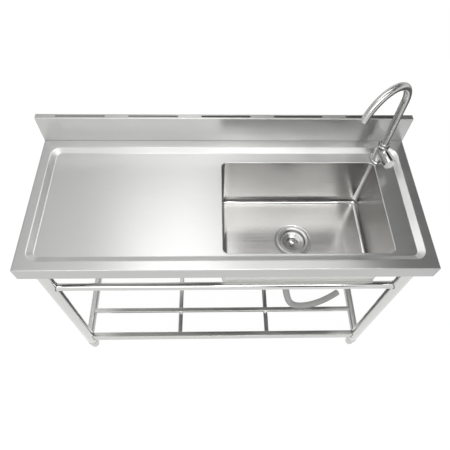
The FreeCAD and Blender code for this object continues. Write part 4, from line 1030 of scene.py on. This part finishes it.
basket_foot, basket_rim = levels("strainer_basket")
basket_low, basket_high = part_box("strainer_basket")
rim_radius = (basket_high.x - basket_low.x) / 2
basket_wall = 0.0012
hole_radius = 0.0016
drill_depth = 0.040
build = bmesh.new()
add_turned(build, (
    (0.0032, basket_foot), (0.021, basket_foot), (0.021, basket_foot + 0.015),
    (rim_radius - 0.003, basket_rim - basket_wall), (rim_radius, basket_rim - basket_wall),
    (rim_radius, basket_rim), (rim_radius - 0.003, basket_rim), (0.0198, basket_foot + 0.0162),
    (0.0198, basket_foot + basket_wall), (0.0032, basket_foot + basket_wall),
), 0.0008, strainer_place, steps=96)
basket_mesh = made_mesh(build, "basket_blank")
for circle, count in ((0.030, 18), (0.0165, 10)):
    basket_mesh = grown(
        hole_tree, basket_mesh, Finish=spun_steel, Centre=(drain_x, drain_y, basket_rim - drill_depth / 4),
        Circle=circle, Count=count, Radius=hole_radius, Depth=drill_depth,
    )
finish_piece(
    mesh_build(basket_mesh), "dished_basket", spun_steel, "basket", ["strainer_basket"],
)

# Polished steel: a small bright spot with a dark edge.
knob_steel = steel_finish(
    "polished_knob_steel", "#DADAD8", 0.22, (0.01, 0.01, 0.01), axis="Z", turned=True, anisotropy=0.3,
)
knob_foot, knob_top = levels("basket_knob")
turned_piece("turned_knob", (
    (0.0, knob_foot), (0.008, knob_foot), (0.008, knob_foot + 0.002), (0.003, knob_foot + 0.002),
    (0.003, knob_top - 0.012), (0.011, knob_top - 0.012), (0.013, knob_top - 0.009),
    (0.013, knob_top - 0.004), (0.0105, knob_top - 0.0012), (0.005, knob_top), (0.0, knob_top),
), 0.001, strainer_place, knob_steel, "basket", "strainer_steel", "basket_knob", steps=48)


# Drain hose: smooth grey PVC pushed on the tailpiece and held by a worm clamp. It hangs, bends
# forward, comes down on the front slat and lies towards the right with a free cut end.
hose_points = (
    (0.237, -0.025, 0.462),
    (0.237, -0.025, 0.382),
    (0.238, -0.104, 0.314),
    (0.289, -0.105, 0.1333),
    (0.422, -0.085, 0.1333),
    (0.498, -0.037, 0.1333),
)
hose_radius = 0.013
hose_bore = 0.010
hose_curve = bpy.data.curves.new("hose_route", "CURVE")
hose_curve.dimensions = "3D"
hose_curve.resolution_u = 24
hose_spline = hose_curve.splines.new("NURBS")
hose_spline.points.add(len(hose_points) - 1)
for control, point in zip(hose_spline.points, hose_points):
    control.co = (*point, 1.0)
hose_spline.order_u = 3
hose_spline.use_endpoint_u = True
hose_line = bpy.data.objects.new("hose_route", hose_curve)
scene.collection.objects.link(hose_line)
hose_path = [vertex.co.copy() for vertex in baked(hose_line).vertices]


def add_tube(build, path, outer, inner, steps=32):
    """A tube with a bore along a path, with square ends."""
    heading = (path[1] - path[0]).normalized()
    side = heading.orthogonal().normalized()
    outside, inside = [], []
    for index, spot in enumerate(path):
        before = path[max(index - 1, 0)]
        after = path[min(index + 1, len(path) - 1)]
        onward = (after - before).normalized()
        side = heading.rotation_difference(onward) @ side
        side = (side - onward * side.dot(onward)).normalized()
        heading = onward
        other = onward.cross(side)
        for rings, radius in ((outside, outer), (inside, inner)):
            outline = circle_outline(0.0, 0.0, radius, steps)
            rings.append([tuple(spot + x * side + y * other) for x, y in outline])
    add_rings(build, outside)
    add_rings(build, inside)
    add_rings(build, [outside[0], inside[0]])
    add_rings(build, [outside[-1], inside[-1]])


# Extruded PVC: mid grey with a soft sheen along the hose.
hose_pvc = plain_finish("grey_hose_pvc", "#9A9A98", 0.0, 0.42, 0.03, contrast=0.06)
build = bmesh.new()
add_tube(build, hose_path, hose_radius, hose_bore)
hose = finish_piece(build, "hose_tube", hose_pvc, "frame", ["drain_hose"])
dress(screw_steel, "hose_clamp")


# Tap mounting: the threaded brass shank passes through the deck and is held from below by a nut and
# a plated washer. The valve inside the body is brass too, and a plated screw holds the handle.
# Machined brass: warm yellow with a tight shine.
tap_brass = plain_finish("turned_brass", "#C9A45C", 1.0, 0.3, 0.004)
dress(tap_brass, "tap_shank", "tap_locknut", "valve_cartridge", "cartridge_nut", "valve_spindle")
dress(screw_steel, "handle_screw")


# Tap body: cast stainless steel, polished all over: an upright barrel on a base ring, with a branch
# to the front for the valve and a collar that the spout turns in.
# Polished casting: close to a mirror, so the white room and the dark flags stand in it as stripes.
tap_steel = steel_finish(
    "polished_tap_steel", "#C4C4C2", 0.08, (0.004, 0.004, 0.06), axis="Z", anisotropy=0.2, contrast=0.03,
)
tap_place = (tap_x, tap_y, 0.0)
base_foot, base_top = levels("tap_base")
turned_piece("tap_base_ring", (
    (0.0163, base_foot), (0.024, base_foot), (0.024, base_foot + 0.003), (0.0215, base_top),
    (0.0163, base_top),
), 0.0012, tap_place, tap_steel, "frame", "tap_chrome", "tap_base")

body_foot, body_top = levels("tap_body")
barrel_radius = 0.019
branch_radius = 0.018
branch_start = 0.004
branch_reach = 0.026
branch_level = body_foot + 0.039
handle_angle = math.radians(13.0)
handle_way = Vector((math.sin(handle_angle), -math.cos(handle_angle), 0.0))
branch_place = (tap_x, tap_y, branch_level)


def casting(name, *shape):
    """A closed turned block as a scratch object, to be joined to another."""
    build = bmesh.new()
    add_turned(build, *shape)
    block = bpy.data.objects.new(name, made_mesh(build, name))
    scene.collection.objects.link(block)
    return block


barrel = casting("barrel", (
    (0.0, body_foot), (barrel_radius, body_foot), (barrel_radius, body_top), (0.0, body_top),
), 0.002, tap_place)
branch = casting("branch", (
    (0.0, branch_start), (branch_radius, branch_start), (branch_radius, branch_reach), (0.0, branch_reach),
), 0.0015, branch_place, handle_way)
joining = barrel.modifiers.new("joining", "BOOLEAN")
joining.operation = "UNION"
joining.solver = "EXACT"
joining.object = branch
body_mesh = baked(barrel)
bpy.data.objects.remove(branch)
finish_piece(mesh_build(body_mesh), "tap_barrel", tap_steel, "frame", ["tap_body"])

collar_foot, collar_top = levels("spout_collar")
turned_piece("spout_collar_ring", (
    (0.0113, collar_foot), (0.015, collar_foot), (0.015, collar_top - 0.002), (0.0135, collar_top),
    (0.0113, collar_top),
), 0.0008, tap_place, tap_steel, "frame", "tap_chrome", "spout_collar")


# Handle: a round grip turned from stainless bar and polished like the body, pressed on the valve's
# spindle and screwed. A thin cap in its end hides the screw.
handle_start = branch_reach + 0.0004
handle_end = 0.036
cap_seat = handle_end - 0.0015
screw_seat = handle_end - 0.0095
handle_place = Vector(branch_place) + handle_way * handle_start
turned_piece("handle_grip", (
    (0.0041, 0.0), (0.0195, 0.0), (0.0195, handle_end), (0.0181, handle_end), (0.0181, cap_seat),
    (0.006, cap_seat), (0.006, screw_seat), (0.0041, screw_seat),
), 0.001, handle_place, tap_steel, "handle", "tap_chrome", "tap_handle", axis=handle_way)
# Fine-brushed disc: an even pale grey with hardly a highlight.
cap_steel = steel_finish("brushed_cap_steel", "#EDEDEB", 0.6, (0.02, 0.02, 0.0015), axis="Z", anisotropy=0.0)
turned_piece("handle_end_cap", (
    (0.0, cap_seat), (0.018, cap_seat), (0.018, handle_end - 0.0003), (0.0165, handle_end),
    (0.0, handle_end),
), 0.0004, handle_place, cap_steel, "handle", "tap_chrome", "handle_cap", axis=handle_way)


# Spout: drawn stainless tube, bent into a gooseneck and polished round the tube. Its foot turns in the
# body's collar, and a short aerator ring is pushed into its mouth.
spout_radius = 0.011
spout_bore = 0.0095
spout_rise = 0.203
spout_arc = 0.086
spout_sweep = math.radians(166.0)
spout_angle = math.radians(34.5)
spout_way = Vector((-math.cos(spout_angle), -math.sin(spout_angle), 0.0))
spout_foot = Vector((tap_x, tap_y, body_foot + 0.040))
spout_bend = spout_foot + Vector((0.0, 0.0, spout_rise))
spout_path = [spout_foot, spout_foot.lerp(spout_bend, 0.5)]
gooseneck_steps = 72
for step in range(gooseneck_steps + 1):
    angle = spout_sweep * step / gooseneck_steps
    out = spout_arc * (1 - math.cos(angle))
    rise = spout_arc * math.sin(angle)
    spout_path.append(spout_bend + spout_way * out + Vector((0.0, 0.0, rise)))
# Polished round the tube: bands of light follow the gooseneck from foot to mouth.
spout_steel = steel_finish(
    "polished_spout_steel", "#C4C4C2", 0.2, (0.03, 0.03, 0.03), axis="path", anisotropy=1.0, contrast=0.03,
)
build = bmesh.new()
add_tube(build, spout_path, spout_radius, spout_bore, steps=48)
gooseneck = finish_piece(build, "gooseneck_tube", spout_steel, "spout", ["tap_spout"])
path_way = gooseneck.data.attributes.new("path_way", "FLOAT_VECTOR", "POINT")
last_spot = len(spout_path) - 1
for vertex in gooseneck.data.vertices:
    nearest = min(range(len(spout_path)), key=lambda index: (spout_path[index] - vertex.co).length_squared)
    before, after = spout_path[max(nearest - 1, 0)], spout_path[min(nearest + 1, last_spot)]
    path_way.data[vertex.index].vector = (after - before).normalized()
mouth_way = Vector((0.0, 0.0, -math.cos(spout_sweep))) - spout_way * math.sin(spout_sweep)
turned_piece("aerator_ring", (
    (0.006, -0.002), (0.011, -0.002), (0.011, 0.0), (0.0093, 0.0), (0.0093, 0.004), (0.006, 0.004),
), 0.0005, spout_path[-1], tap_steel, "spout", "tap_chrome", "aerator", axis=mouth_way, steps=48)
